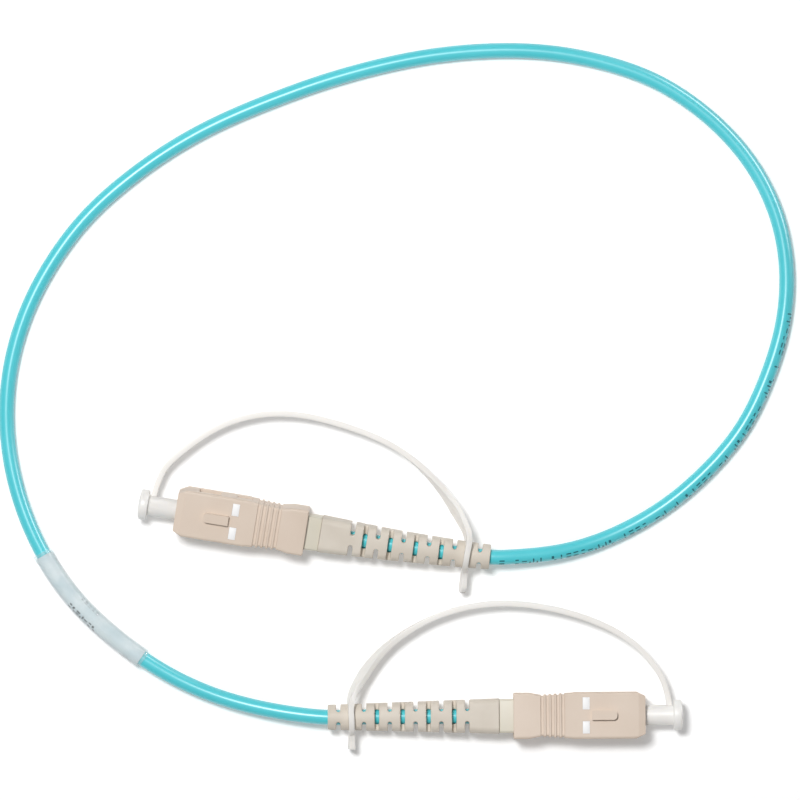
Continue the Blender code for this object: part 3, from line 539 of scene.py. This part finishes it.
# Centre of the boot at x on its unbent axis, and how far it has turned there.
def bootCentre(x, bend):
    along = max(0.0, collarRear - x)
    if along == 0 or bend == 0:
        return Vector((x, 0, 0)), 0.0
    radius = (collarRear - bootTail) / bend
    angle = along / radius
    return Vector((collarRear - radius * math.sin(angle), radius * (math.cos(angle) - 1), 0)), angle


# A natural cubic spline through the route's points.
def smoothCurve(route, samples):
    route = np.array(route, float)
    knots = np.r_[0, np.cumsum(np.sqrt(np.linalg.norm(np.diff(route, axis=0), axis=1)))]
    step = np.diff(knots)[:, None]
    slope = np.diff(route, axis=0) / step
    count = len(route)
    system, right = np.eye(count), np.zeros_like(route)
    for i in range(1, count - 1):
        system[i, i - 1:i + 2] = step[i - 1, 0], 2 * (step[i - 1, 0] + step[i, 0]), step[i, 0]
        right[i] = 6 * (slope[i] - slope[i - 1])
    second = np.linalg.solve(system, right)
    spans = []
    for i in range(count - 1):
        h = step[i, 0]
        u = np.linspace(0, h, samples, endpoint=False)[:, None]
        spans.append(
            route[i] + u * (slope[i] - h * (2 * second[i] + second[i + 1]) / 6)
            + u**2 * second[i] / 2 + u**3 * (second[i + 1] - second[i]) / (6 * h))
    return np.vstack(spans + [route[-1:]])


def travelled(path):
    return np.r_[0, np.cumsum(np.linalg.norm(np.diff(path, axis=0), axis=1))]


def atLengths(path, lengths):
    along = travelled(path)
    return np.column_stack([np.interp(lengths, along, path[:, axis]) for axis in range(3)])


def nearestLength(path, point):
    return travelled(path)[np.argmin(np.linalg.norm(path - np.array(point), axis=1))]


# Lays a straight piece along a path: X runs along, Y goes left, and Z goes up, or straight up when level.
def wrapAlong(piece, path, level=False):
    straight = points(piece)
    centres = atLengths(path, straight[:, 0])
    nudge = 0.4 * mm
    ahead = atLengths(path, straight[:, 0] + nudge) - atLengths(path, straight[:, 0] - nudge)
    left = np.column_stack([-ahead[:, 1], ahead[:, 0], np.zeros(len(ahead))])
    left /= np.linalg.norm(left, axis=1)[:, None]
    up = np.cross(ahead, left)
    up /= np.linalg.norm(up, axis=1)[:, None]
    if level:
        up = np.array([[0.0, 0.0, 1.0]])
    setPoints(piece, centres + left * straight[:, 1:2] + up * straight[:, 2:3])


# The cable's centre line, and where it leaves the two boots.
def cablePath():
    inside = {}
    for letter in "ab":
        bend = math.radians(connectors[letter]["bootBend"])
        stops = [collarRear + (bootTail - collarRear) * step / 4 for step in range(5)]
        inside[letter] = [tuple(connectorFrame(letter) @ bootCentre(x, bend)[0]) for x in stops]
    route = inside["a"] + cable["route"] + inside["b"][::-1]
    return smoothCurve(route, cable["samples"]), inside["a"][-1], inside["b"][-1]


cableLine, exitA, exitB = cablePath()
cableLength = float(travelled(cableLine)[-1])


# Keeps each corner's place along and around as a texture map, before the piece is wrapped.
def mapAlong(piece):
    straight = points(piece)
    around = np.arctan2(straight[:, 1], straight[:, 2]) * np.hypot(straight[:, 1], straight[:, 2])
    layer = piece.data.uv_layers.new(name="alongCable")
    corners = np.array([loop.vertex_index for loop in piece.data.loops])
    layer.data.foreach_set("uv", np.column_stack([straight[corners, 0], around[corners]]).ravel())


def makeCable():
    rings = round(cableLength / (cable["ringSpacing"] * mm))
    jacket = addRod("jacket", 0, cableLength, cable["diameter"] / 2 * mm, cable["sides"], rings)
    mapAlong(jacket)
    wrapAlong(jacket, cableLine)
    smooth(jacket, 50)
    finishPiece(jacket, jacketPolyolefin, "cord", "jacket_plastic", "cable_jacket")
    print("cable made:", rings, "lengths,", round(cableLength, 4), "m")
    return jacket


jacket = makeCable()


legend = {
    "startFromBootA": 2.2,  # mm along the cable
    "end": 80.0,
    "turn": -58.0,  # degrees from the top, towards the outer flank
    "pitch": 1.42,  # from one mark to the next, mm
    "size": (0.92, 1.7),  # along the jacket and around it
    "stroke": 0.26,
    "thickness": 0.012,
    "groups": (1, 4, 9, 4, 2, 1, 5, 2, 7, 3, 1, 6, 4, 2, 5, 8, 3),  # marks in each run
}


# Boxes (x low, x high, y low, y high) of a blocky mark that is no letter.
def inkBars(kind, size, stroke):
    width, height = size
    right, top, gap = width / 2, height / 2, height / 10
    bars = {
        "broken": [(-stroke / 2, stroke / 2, gap, top), (-stroke / 2, stroke / 2, -top, -gap)],
        "rungs": [(-right, right, top - stroke, top), (-right, right, -stroke / 2, stroke / 2),
                  (-right, right, -top, -top + stroke)],
        "twoRungs": [(-right, right, gap, gap + stroke), (-right, right, -top, -top + stroke)],
        "diagonal": [(-right, 0, gap, top), (0, right, -top, -gap)],
        "posts": [(-right, -right + stroke, -top, gap), (right - stroke, right, -gap, top)],
        "slab": [(-right * 0.7, right * 0.7, -top, -gap), (-right * 0.7, right * 0.7, top - stroke, top)],
    }
    return bars[kind]


# Blocky print laid round the cable: spots are (x along, turn from the top, kind), sizes in mm.
def printOn(name, spots, radius, size, stroke, thickness, material, slot):
    clearSelection()
    bpy.ops.mesh.primitive_grid_add(x_subdivisions=2, y_subdivisions=5, size=1)
    stamp = bpy.context.object
    bars = []
    for x, turn, kind in spots:
        for left, right, low, high in inkBars(kind, [side * mm for side in size], stroke * mm):
            bar = stamp.copy()
            bar.data = stamp.data.copy()
            bpy.context.scene.collection.objects.link(bar)
            bar.data.transform(
                Matrix.Translation((x + (left + right) / 2, turn * radius + (low + high) / 2, 0))
                @ Matrix.Diagonal((right - left, high - low, 1, 1)))
            bars.append(bar)
    bpy.data.objects.remove(stamp, do_unlink=True)
    ink = join(bars)
    ink.name = name
    flat = points(ink)
    turn = flat[:, 1] / radius
    setPoints(ink, np.column_stack([flat[:, 0], radius * np.sin(turn), radius * np.cos(turn)]))
    applyModifier(ink, "SOLIDIFY", thickness=thickness * mm, offset=0.0)
    wrapAlong(ink, cableLine)
    finishPiece(ink, material, "cord", slot)
    return ink


# The jacket's printed legend as generic marks, in word-like runs.
def makeLegend():
    kinds = ("rungs", "broken", "diagonal", "posts", "twoRungs", "slab")
    begin = nearestLength(cableLine, exitA) + legend["startFromBootA"] * mm
    turn = math.radians(legend["turn"])
    spots, place, count = [], 0.0, 0
    while place < legend["end"]:
        for group in legend["groups"]:
            for _ in range(group):
                spots.append((begin + place * mm, turn, kinds[(count * 5 + count // 4) % len(kinds)]))
                place += legend["pitch"]
                count += 1
            place += legend["pitch"]
            if place > legend["end"]:
                break
    radius = cable["diameter"] / 2 * mm + legend["thickness"] / 2 * mm
    return printOn("jacketLegend", spots, radius, legend["size"], legend["stroke"], legend["thickness"],
                   jacketInk, "jacket_plastic")


jacketLegend = makeLegend()
print("legend made")


# The label on the cable.

label = {
    "fromBootB": 37.3,
    "length": 29.0,
    "sides": 48,
    "ringSpacing": 0.7,
    "tubes": {  # mm shorter at each end, outer radius, wall, wander of the cut ends
        "labelPaper": (0.8, 1.70, 0.10, 0.1),
        "labelSleeve": (0, 2.00, 0.15, 0.35),
    },
    "inkLift": 0.008,
    "inkThickness": 0.01,
}
labelLines = {
    # degrees from the top, mm from the far end, marks, pitch, size, stroke
    "labelCode": (-58.0, 11.4, 7, 1.02, (0.84, 1.4), 0.3),
    "labelSmallPrint": (50.0, 12.2, 5, 1.0, (0.7, 0.8), 0.16),
}


# A thin tube round the cable, its cut ends a little oblique.
def makeTube(name, material, slot, node):
    inset, radius, thickness, ragged = [value * mm for value in label["tubes"][name]]
    start, end = labelStart + inset, labelEnd - inset
    rings = round((end - start) / (label["ringSpacing"] * mm))
    tube = addRod(name, start, end, radius - thickness / 2, label["sides"], rings, "NOTHING")
    straight = points(tube)
    turn = np.arctan2(straight[:, 1], straight[:, 2])
    share = (straight[:, 0] - (start + end) / 2) / (end - start) * 2
    wander = ragged * (0.7 * np.cos(turn + 0.6) + 0.3 * np.sin(3 * turn))
    straight[:, 0] += np.where(np.abs(share) > 0.999, (wander - ragged) * np.sign(share), 0)
    setPoints(tube, straight)
    applyModifier(tube, "SOLIDIFY", thickness=thickness, offset=0.0)
    wrapAlong(tube, cableLine)
    smooth(tube, 40)
    finishPiece(tube, material, "cord", slot, node)
    return tube


def makeLabelLine(name, kinds, material):
    turn, start, count, pitch, size, stroke = labelLines[name]
    radius = (label["tubes"]["labelPaper"][1] + label["inkLift"]) * mm
    spots = [(labelStart + (start + i * pitch) * mm, math.radians(turn), kinds[i]) for i in range(count)]
    return printOn(name, spots, radius, size, stroke, label["inkThickness"], material, "label_paper")


labelEnd = nearestLength(cableLine, exitB) - label["fromBootB"] * mm
labelStart = labelEnd - label["length"] * mm
paper = makeTube("labelPaper", labelPaper, "label_paper", "label_insert")
sleeve = makeTube("labelSleeve", sleeveClear, "sleeve_plastic", "label_sleeve")
labelPrint = [
    makeLabelLine("labelCode", (
        "slab", "diagonal", "rungs", "posts", "twoRungs", "slab", "diagonal"), labelInk),
    makeLabelLine("labelSmallPrint", ("slab", "rungs", "twoRungs", "slab", "rungs"), labelGreyInk),
]
print("label made")


# The push-pull grip.

grip = {
    "halfWidth": 4.5, "halfHeight": 3.7,
    "corner": 0.4,  # of its section
    "frontHalfHeight": 2.95,  # flat face without the two strips
    "stripSlope": 8.0,  # degrees
    "noseChamfer": (1.7, 0.9),  # along, across
    "noseRound": (0.15, 0.13, 0.12),  # along, across and up
    "rim": 0.10,  # radius of the windows' and the ends' rims
    "grooves": 5, "groovePitch": 1.0, "grooveWidth": 0.6, "grooveDepth": 0.25, "grooveLip": 0.1,
    "lastGroove": 5.5, "flareFromRear": 11.45, "waistFromRear": 5.1, "waistHalfWidth": 4.05,
    "flareStep": (0.12, 0.08, 0.03),  # along, across and up
    "waistRound": (0.3, 0.02),  # along, across
    "rear": ((3.1, 0.08, 0), (0.2, 0.05, 0), (0, 0.22, 0.15)),  # before its end, in, down
    "cavityHalf": (3.4, 2.95), "rearCavityHalfWidth": 3.55, "rearCavity": 10.25,
    "window": (3.85, 8.05), "windowHalf": 2.1, "earWindow": (11.2, 14.3), "earHalf": 1.2,
    "key": (5.4, 10.25), "keyWidth": 1.8, "keyHeight": 0.95, "keyNose": 0.75, "keySunk": 0.25,
    "mark": (10.65, 12.05), "markCentre": 2.3, "markWidth": 2.4, "markDepth": 0.12, "markEdge": 0.03,
    "markFit": (0.02, 0.005, 0.015),  # gap all round, below it, and down from the face
}


# (x, half width, half height) down the outside of the grip, from the nose back.
def gripStations(length):
    g = grip
    wide, tall = g["halfWidth"], g["halfHeight"]
    along, across = g["noseChamfer"]
    back, out, down = g["noseRound"]
    stops = [(0, wide - across, tall - down), (-back, wide - across + out, tall), (-along, wide, tall)]
    flare, waist = -length + g["flareFromRear"], -length + g["waistFromRear"]
    back, inward, down = g["flareStep"]
    start, startWide, waistWide = flare - back, wide - inward, g["waistHalfWidth"]
    stops += [(flare, wide, tall), (start, startWide, tall - down)]

    def widthAt(x):
        return startWide - (startWide - waistWide) * min(1, max(0, (start - x) / (start - waist)))

    first = -length + g["lastGroove"] + (g["grooves"] - 1) * g["groovePitch"]
    half, deep, lip = g["grooveWidth"] / 2, g["grooveDepth"], g["grooveLip"]
    for i in range(g["grooves"]):
        x = first - i * g["groovePitch"]
        for offset, depth in ((half + lip / 2, 0), (half - lip / 2, deep * 0.8), (half - lip * 1.4, deep),
                              (-half + lip * 1.4, deep), (-half + lip / 2, deep * 0.8), (-half - lip / 2, 0)):
            stops.append((x + offset, widthAt(x + offset) - depth, tall - depth))
    back, out = g["waistRound"]
    stops += [(waist, waistWide, tall), (waist - back, waistWide + out, tall)]
    return stops + [(-length + before, wide - inward, tall - down) for before, inward, down in g["rear"]]


# Where a mark lies along and across the grip, less a gap all round.
def markPlace(side, gap=0.0):
    front, rear = grip["mark"]
    centre, half = side * grip["markCentre"], grip["markWidth"] / 2
    return (-rear + gap, -front - gap), (centre - half + gap, centre + half - gap)


def makeGrip():
    g = grip
    length = (gripHigh.x - gripLow.x) / mm
    stops = [tuple(value * mm for value in stop) for stop in gripStations(length)]
    corner, past = g["corner"] * mm, 0.5  # past: how far the tools reach beyond the ends, mm
    wide, tall = g["cavityHalf"]
    startSection("grip", *stops[0], corner, 5)
    pushOn(stops[0], stops[1:])
    shell = closeUp()
    startSection("cavity", past * mm, wide * mm, tall * mm, corner, 3)
    pushOn((past * mm, 1, 1), [((-length - past) * mm, 1, 1)])
    tools = [closeUp()]
    rearWide = g["rearCavityHalfWidth"]
    tools.append(addBox(
        "rearCavity", (-length - past, -length + g["rearCavity"]), (-rearWide, rearWide), (-tall, tall)))
    for side in (-1, 1):
        strip = addBox("faceStrip", (-g["noseChamfer"][0], past), (-5, 5),
                       (side * (g["frontHalfHeight"] + 0.5), side * 5))
        strip.data.transform(Matrix.Rotation(side * math.radians(g["stripSlope"]), 4, "Y"))
        tools.append(strip)
        for (near, far), half in ((g["window"], g["windowHalf"]), (g["earWindow"], g["earHalf"])):
            tools.append(addBox("window", (-far, -near), (side * 2, side * 6), (-half, half)))
        tools.append(addBox("markPocket", *markPlace(side), (
            g["halfHeight"] - g["markDepth"], g["halfHeight"] + 1)))
    for tool in tools:
        combine(shell, tool, "DIFFERENCE")
    combine(shell, makeKey(), "UNION")
    easeEdges(shell, g["rim"], 2)
    smooth(shell, 40)
    applyModifier(shell, "WEIGHTED_NORMAL", keep_sharp=True, weight=100)
    return shell


# The raised key: a bar with a rounded nose.
def makeKey():
    g = grip
    face, half = g["halfHeight"], g["keyWidth"] / 2
    front, rear = -g["key"][0], -g["key"][1]
    key = addBox("key", (rear, front), (-half, half), (face - g["keySunk"], face + g["keyHeight"]))
    pick(key)
    bpy.ops.object.mode_set(mode="EDIT")
    bpy.ops.mesh.select_mode(type="EDGE")
    bpy.ops.mesh.select_all(action="DESELECT")
    bpy.ops.object.mode_set(mode="OBJECT")
    corners = key.data.vertices
    for edge in key.data.edges:  # the two upright edges of its nose
        one, two = (corners[i].co for i in edge.vertices)
        atNose = max(abs(one.x - front * mm), abs(two.x - front * mm)) < 0.001 * mm
        edge.select = atNose and abs(one.z - two.z) > 0.1 * mm
    bpy.ops.object.mode_set(mode="EDIT")
    bpy.ops.mesh.bevel(offset=g["keyNose"] * mm, segments=8)
    bpy.ops.object.mode_set(mode="OBJECT")
    return key


def makeMark(side):
    gap, below, down = grip["markFit"]
    floor, top = grip["halfHeight"] - grip["markDepth"] + below, grip["halfHeight"] - down
    mark = addBox("mark" + ("Left" if side > 0 else "Right"), *markPlace(side, gap), (floor, top))
    applyModifier(mark, "BEVEL", width=grip["markEdge"] * mm, segments=2)
    smooth(mark)
    return mark


gripShell = makeGrip()
marks = [makeMark(side) for side in (-1, 1)]
print("grip made:", len(gripShell.data.polygons), "faces")


# Backbone, ferrule, cap and spring.

backbone = {
    "shoulder": -21.2, "blockRear": -27.95, "halfWidth": 3.25, "halfHeight": 2.65, "edge": 0.14,
    "spigotRadius": 1.95, "postRadius": 1.5, "bore": 0.75,
}


# The cream block behind the grip, with its spigot and the post that carries the crimp.
def makeBackbone():
    b = backbone
    front, rear = blockHigh.x / mm, blockLow.x / mm
    start = (b["shoulder"] * mm, b["halfWidth"] * mm, b["halfHeight"] * mm)
    startSection("backbone", *start, 0.5 * mm, 5)
    pushOn(start, [(b["blockRear"] * mm, start[1], start[2])])
    block = closeUp()
    radius, post = b["spigotRadius"], b["postRadius"]
    combine(block, turned("spigot", [
        (b["shoulder"] - 1, radius), (front - 0.25, radius), (front, radius - 0.25)], 48), "UNION")
    combine(block, turned("post", [
        (b["blockRear"] + 1, post), (rear + 0.2, post), (rear, post - 0.2)], 48), "UNION")
    combine(block, turned("bore", [(front + 1, b["bore"]), (rear - 1, b["bore"])], 32), "DIFFERENCE")
    easeEdges(block, b["edge"], 3)
    smooth(block, 40)
    return block


ferruleShape = {"radius": 1.25, "front": 2.2, "rear": -8.3, "chamfer": 0.5}


def makeFerrule():
    f = ferruleShape
    body = turned("ferrule", [
        (f["rear"], f["radius"] - 0.2), (f["rear"] + 0.2, f["radius"]),
        (f["front"] - f["chamfer"], f["radius"]),
        (f["front"] - f["chamfer"] * 0.4, f["radius"] - 0.14), (f["front"] - 0.06, f["radius"] - 0.42),
        (f["front"] - 0.01, f["radius"] * 0.4), (f["front"], 0.02)], 72)
    smooth(body, 50)
    return body


cap = {
    "bore": 1.35, "barrel": 1.95, "front": 5.46, "back": -3.0, "flange": 2.9, "flangeLength": 1.9,
    "boreEnd": 2.8, "edge": 0.3, "dome": 0.28,
}


# Thimble with a flange whose outer face is slightly domed; it opens at the back.
def makeCap():
    c = cap
    front, end = c["front"], c["front"] + c["flangeLength"]
    edge = c["edge"]
    body = turned("cap", [
        (c["boreEnd"], 0.01), (c["boreEnd"], c["bore"] - 0.2), (c["boreEnd"] - 0.2, c["bore"]),
        (c["back"] + 0.15, c["bore"]), (c["back"], c["bore"] + 0.15), (c["back"], c["barrel"] - 0.2),
        (c["back"] + 0.08, c["barrel"] - 0.07), (c["back"] + 0.2, c["barrel"]),
        (front - 0.12, c["barrel"]), (front - 0.03, c["barrel"] + 0.04), (front, c["barrel"] + 0.13),
        (front, c["flange"] - edge), (front + edge * 0.3, c["flange"] - edge * 0.3),
        (front + edge, c["flange"]), (end - c["dome"] - 0.25, c["flange"]),
        (end - c["dome"] - 0.08, c["flange"] - 0.08), (end - c["dome"], c["flange"] - 0.25),
        (end - 0.08, 1.5), (end - 0.02, 0.8), (end, 0.01),
    ], 72)
    smooth(body, 35)
    return body


spring = {"wire": 0.45, "turns": 6.0, "steps": 26, "sides": 12, "squeeze": 0.8}


# A compression spring with closed ends, wound from a straight wire.
def makeSpring():
    s = spring
    low, high = springLow.x, springHigh.x
    wire = s["wire"] / 2 * mm
    radius = springHigh.y - wire
    turns = s["turns"]
    coil = addRod("spring", 0, 1, wire, s["sides"], int(turns * s["steps"]))
    straight = points(coil)
    turn = straight[:, 0] * turns
    rise = high - low - 2 * wire
    lift = np.interp(turn, [0, 1, turns - 1, turns], [0, 2 * wire, rise - 2 * wire, rise])
    angle = turn * 2 * math.pi
    around = radius + straight[:, 1]
    setPoints(coil, np.column_stack([
        low + wire + lift + straight[:, 2], around * np.cos(angle), around * np.sin(angle)]))
    bpy.ops.object.mode_set(mode="EDIT")
    coil = closeUp()
    smooth(coil, 60)
    return coil


# The strain-relief boot.

boot = {
    "frontHalf": (3.4, 3.2), "corner": 1.2, "tailRadius": 2.4,
    "socketRadius": 2.7, "socketDepth": 5.3, "bore": 1.65,
    "slots": 11, "firstSlot": 5.88, "slotPitch": 2.47, "slotWidth": 0.84, "bridge": 1.95,
    "toolHalf": (3.0, 8.0),  # half of what a slot's tool reaches, outward and through
    "meetsBlock": 0.28,  # forward of the CAD's clearance, up to the backbone
    "around": 96, "rows": 16,  # points of the plain cone
    "voxel": 0.13,  # grid on which the rubber's edges are rounded, mm
    "rounding": 3,  # smoothing passes
}


# Distance from the centre to a rounded rectangle at each angle.
def roundedReach(angle, wide, tall, corner):
    across, up = np.abs(np.cos(angle)), np.abs(np.sin(angle))
    flat = np.minimum(wide / np.maximum(across, 1e-9), tall / np.maximum(up, 1e-9))
    x, y = wide - corner, tall - corner
    toward = x * across + y * up
    inside = toward**2 - x**2 - y**2 + corner**2
    curved = toward + np.sqrt(np.maximum(inside, 0))
    onCorner = (flat * across > x) & (flat * up > y)
    return np.where(onCorner, curved, flat)


# The boot's outside: a rounded rectangle in front that goes over to a circle at the tail.
def bootShell():
    b = boot
    start = (bootFront + b["meetsBlock"] * mm, 1 * mm, 1 * mm)
    startRound("boot", start[0], start[1], b["around"])
    reach = bootFront - bootTail
    pushOn(start, [(bootFront - reach * row / b["rows"], 1 * mm, 1 * mm) for row in range(1, b["rows"] + 1)])
    shell = closeUp()
    spots = points(shell)
    angle = np.arctan2(spots[:, 2], spots[:, 1])
    share = np.clip((bootFront - spots[:, 0]) / reach, 0, 1)
    front = roundedReach(angle, *b["frontHalf"], b["corner"])
    size = (front + (b["tailRadius"] - front) * share) * mm
    setPoints(shell, np.column_stack([spots[:, 0], size * np.cos(angle), size * np.sin(angle)]))
    return shell


# All the slots: sides and top by turns, each with a round inner end.
def slotTools():
    b = boot
    radius, inner = b["slotWidth"] / 2, b["bridge"] / 2
    outward, through = b["toolHalf"]
    tools = []
    for number in range(b["slots"]):
        x = bootFront / mm - b["firstSlot"] - number * b["slotPitch"]
        for turn in (0, 180):
            clearSelection()
            bpy.ops.mesh.primitive_plane_add(size=2, location=(0, 0, -through * mm))
            applyTransform()
            editAll()
            bpy.ops.transform.resize(value=(radius * mm, outward * mm, 1))
            bpy.ops.transform.translate(value=(0, (inner + outward) * mm, 0))
            bpy.ops.mesh.bevel(offset=radius * 0.98 * mm, segments=7, affect="VERTICES")
            bpy.ops.mesh.extrude_region_move(TRANSFORM_OT_translate={"value": (0, 0, 2 * through * mm)})
            tool = closeUp()
            about = Matrix.Rotation(math.radians(turn + 90 * (number % 2)), 4, "X")
            tool.data.transform(Matrix.Translation((x * mm, 0, 0)) @ about)
            tools.append(tool)
    return join(tools)


def makeBoot():
    b = boot
    shell = bootShell()
    combine(shell, slotTools(), "DIFFERENCE")
    front, tail = bootFront / mm, bootTail / mm
    combine(shell, turned("socket", [
        (front - b["socketDepth"], b["socketRadius"]), (front + 1, b["socketRadius"])]), "DIFFERENCE")
    combine(shell, turned("cableBore", [(tail - 1, b["bore"]), (front, b["bore"])]), "DIFFERENCE")
    applyModifier(shell, "REMESH", mode="VOXEL", voxel_size=b["voxel"] * mm, adaptivity=0.0)
    applyModifier(shell, "SMOOTH", factor=0.5, iterations=b["rounding"])
    pick(shell)
    bpy.ops.object.shade_smooth()
    return shell


# Turns the boot a little behind its collar, the way it lies.
def bendBoot(piece, letter):
    bend = math.radians(connectors[letter]["bootBend"])
    if not bend:
        return
    moved = []
    for x, y, z in points(piece):
        centre, angle = bootCentre(x, bend)
        if x < bootTail:
            centre += Vector((-(bootTail - x) * math.cos(angle), -(bootTail - x) * math.sin(angle), 0))
        moved.append((centre.x - y * math.sin(angle), centre.y + y * math.cos(angle), z))
    setPoints(piece, moved)


# The strap that ties the cap to the boot.

strap = {
    "thickness": 1.05, "height": 2.5, "level": 3.25,
    "fromTail": 4.5,  # slit's middle from the boot's end
    "gap": 0.12,  # rubber against the slit
    "clearance": 0.3,  # of the CAD's slit, over the boot's half width
    "root": (0.3, 0.3, 0.8),  # behind the cap's flange, out from its barrel, and how deep into it
    "arm": 0.9, "slitEnds": 0.4,
    "slitBefore": {"a": 13.0, "b": 9.0},  # slit's length towards the cap, mm
    "leans": (  # (mm before the boot, sideways per mm of height)
        (-6, 0.20), (-2, 0.05), (1, 0.10), (4, 0.32), (9, 0.58), (14, 0.34), (18, 0.15), (25, 0.0),
    ),
    "edge": 0.24,
    "rowSpacing": 0.5,  # while its bow is evened out
    "relaxing": 70,  # passes that do so
    "held": (7.0, 9.0),  # mm at each end that keep still, and that ease into the rest
    "step": 0.45,  # between rows of points along it
    "rows": 4,
}


# The strap's line seen from above, where its slit is, and where it leaves the cap.
def strapPath(letter):
    place = connectorFrame(letter)
    data = connectors[letter]
    side, bend = data["tetherSide"], math.radians(data["bootBend"])
    behindFlange, outward, into = strap["root"]
    rootX = cap["front"] - behindFlange - strap["thickness"] / 2
    root = place @ Vector((rootX * mm, side * (cap["barrel"] + outward) * mm, 0))
    inside = place @ Vector((rootX * mm, side * (cap["barrel"] - into) * mm, 0))
    slit = place @ bootCentre(bootTail + strap["fromTail"] * mm, bend)[0]
    behind = place @ bootCentre(bootTail, bend)[0]
    axis = (behind - slit).normalized()
    out = Vector((axis.y, -axis.x, 0)).normalized() * side
    chord = slit - root
    bow = Vector((-chord.y, chord.x, 0)).normalized()
    if bow.dot(out) < 0:
        bow = -bow
    halfLength = (strapSlit()[1] + strap["slitEnds"] + strap["arm"]) * mm
    route = [inside, root]
    route += [root + chord * share + bow * offset * mm for share, offset in data["tetherRoute"]]
    route += [slit + out * halfLength, slit, slit - out * data["tetherEnd"] * mm]
    return relaxed(smoothCurve([(p.x, p.y, 0) for p in route], 12)), slit, root


# Evens out a path's curvature, and leaves both its ends as they are.
def relaxed(path):
    total = travelled(path)[-1]
    spots = np.linspace(0, total, int(total / (strap["rowSpacing"] * mm)))
    even = atLengths(path, spots)
    soft = even.copy()
    for _ in range(strap["relaxing"]):
        soft[1:-1] = soft[1:-1] / 2 + (soft[:-2] + soft[2:]) / 4
    still, easing = strap["held"]
    free = np.clip((np.minimum(spots, total - spots) - still * mm) / (easing * mm), 0, 1)[:, None]
    return even + (soft - even) * free


# Half width of the boot where the strap holds it, without and with the CAD's clearance.
def strapSlit():
    share = 1 - strap["fromTail"] * mm / (bootFront - bootTail)
    front = boot["frontHalf"][0]
    half = front + (boot["tailRadius"] - front) * share
    return half, half + strap["clearance"]


def makeStrap(letter):
    s = strap
    path, slit, root = strapPath(letter)
    end = travelled(path)[-1]
    middle = nearestLength(path, (slit.x, slit.y, 0))
    columns = int(end / (s["step"] * mm))
    boxHalf, slitHalf = strapSlit()
    slitHeight = (boxHalf + s["gap"]) * mm
    slitLength = (slitHalf + s["slitEnds"]) * mm
    eyeHeight = (slitHalf + s["arm"]) * mm
    eyeLength = slitLength + s["arm"] * mm
    halves = []
    for upper in (1, -1):
        clearSelection()
        bpy.ops.mesh.primitive_grid_add(x_subdivisions=columns, y_subdivisions=s["rows"], size=2)
        half = bpy.context.object
        grid = points(half)
        x = (grid[:, 0] + 1) / 2 * end
        row = (grid[:, 1] + 1) / 2
        before = s["slitBefore"][letter] * mm
        share = np.clip((x - middle + before) / (before - 0.5 * slitLength), 0, 1)
        opening = np.where(x < middle, share**2 * (3 - 2 * share), np.sqrt(
            np.maximum(0, 1 - ((x - middle) / slitLength) ** 2)))
        arms = np.where(x < middle, share, np.sqrt(np.maximum(0, 1 - ((x - middle) / eyeLength) ** 2)))
        hole = opening * slitHeight
        level, tall = s["level"] * mm, s["height"] / 2 * mm
        tip = np.clip((end - x) / tall, 0, 1) if connectors[letter]["roundTip"] else np.ones(len(x))
        tall = tall * np.sqrt(np.maximum(0.04, 1 - (1 - tip) ** 2))
        centre = level + (slit.z - level) * arms
        armTall = tall + (eyeHeight - slitHeight - tall) * arms
        outer = centre + upper * (hole + armTall)
        near = centre + upper * hole
        height = near + (outer - near) * row
        lean = np.interp((middle - x) / mm, *np.transpose(s["leans"]))
        lean = lean * upper * row * s["height"] / 2 * mm
        setPoints(half, np.column_stack([x, lean, height]))
        halves.append(half)
    sheet = join(halves)
    sheet.name = "strap_" + letter
    pick(sheet)
    editAll()
    bpy.ops.mesh.remove_doubles(threshold=0.01 * mm)
    bpy.ops.mesh.normals_make_consistent(inside=False)
    bpy.ops.object.mode_set(mode="OBJECT")
    applyModifier(sheet, "SOLIDIFY", thickness=s["thickness"] * mm, offset=0.0)
    easeEdges(sheet, s["edge"], 3)
    wrapAlong(sheet, path, level=True)
    smooth(sheet, 50)
    sheet.data.materials.append(shadedStrapPolyethylene)
    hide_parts("cap_tether_" + letter)
    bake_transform(sheet)


# Both connectors.

patterns = {
    "grip": (gripShell, gripPbt, "grip_", "grip_plastic", ("outer_housing_",)),
    "markLeft": (marks[1], markPaint, "grip_", "grip_plastic", ()),
    "markRight": (marks[0], markPaint, "grip_", "grip_plastic", ()),
    "backbone": (makeBackbone(), backbonePbt, "cord", "backbone_plastic", ("backbone_",)),
    "ferrule": (makeFerrule(), zirconia, "ferrule_unit_", "zirconia", ("ferrule_",)),
    "cap": (makeCap(), capPolyethylene, "cap_", "cap_plastic", ("dust_cap_",)),
    "boot": (makeBoot(), bootElastomer, "cord", "boot_rubber", ("boot_",)),
    "spring": (makeSpring(), drawnSteel, "cord", "spring_steel", ("spring_",)),
}
for name, (piece, *_) in patterns.items():
    print(name, len(piece.data.polygons), "faces")

for letter in "ab":
    for name, (pattern, material, body, slot, nodes) in patterns.items():
        piece = copyFor(pattern, letter)
        if name == "boot":
            bendBoot(piece, letter)
        layDown(piece, letter)
        finishPiece(piece, material, body if body == "cord" else body + letter, slot,
                    *[node + letter for node in nodes])
        if name == "spring":
            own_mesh(piece)
    makeStrap(letter)
for pattern, *_ in patterns.values():
    bpy.data.objects.remove(pattern, do_unlink=True)
print("connectors placed")


# The CAD pieces that stay.

cadFinishes = {
    "plug_frame_": framePbt, "ferrule_collar_": nickelPlate, "crimp_sleeve_": crimpAluminium,
    "aramid_yarn_": aramid, "buffered_fibre_": bufferCoat,
}
for start, material in cadFinishes.items():
    for letter in "ab":
        for holder in frame["nodes"][start + letter].material_slots:
            holder.material = material


bpy.context.view_layer.update()
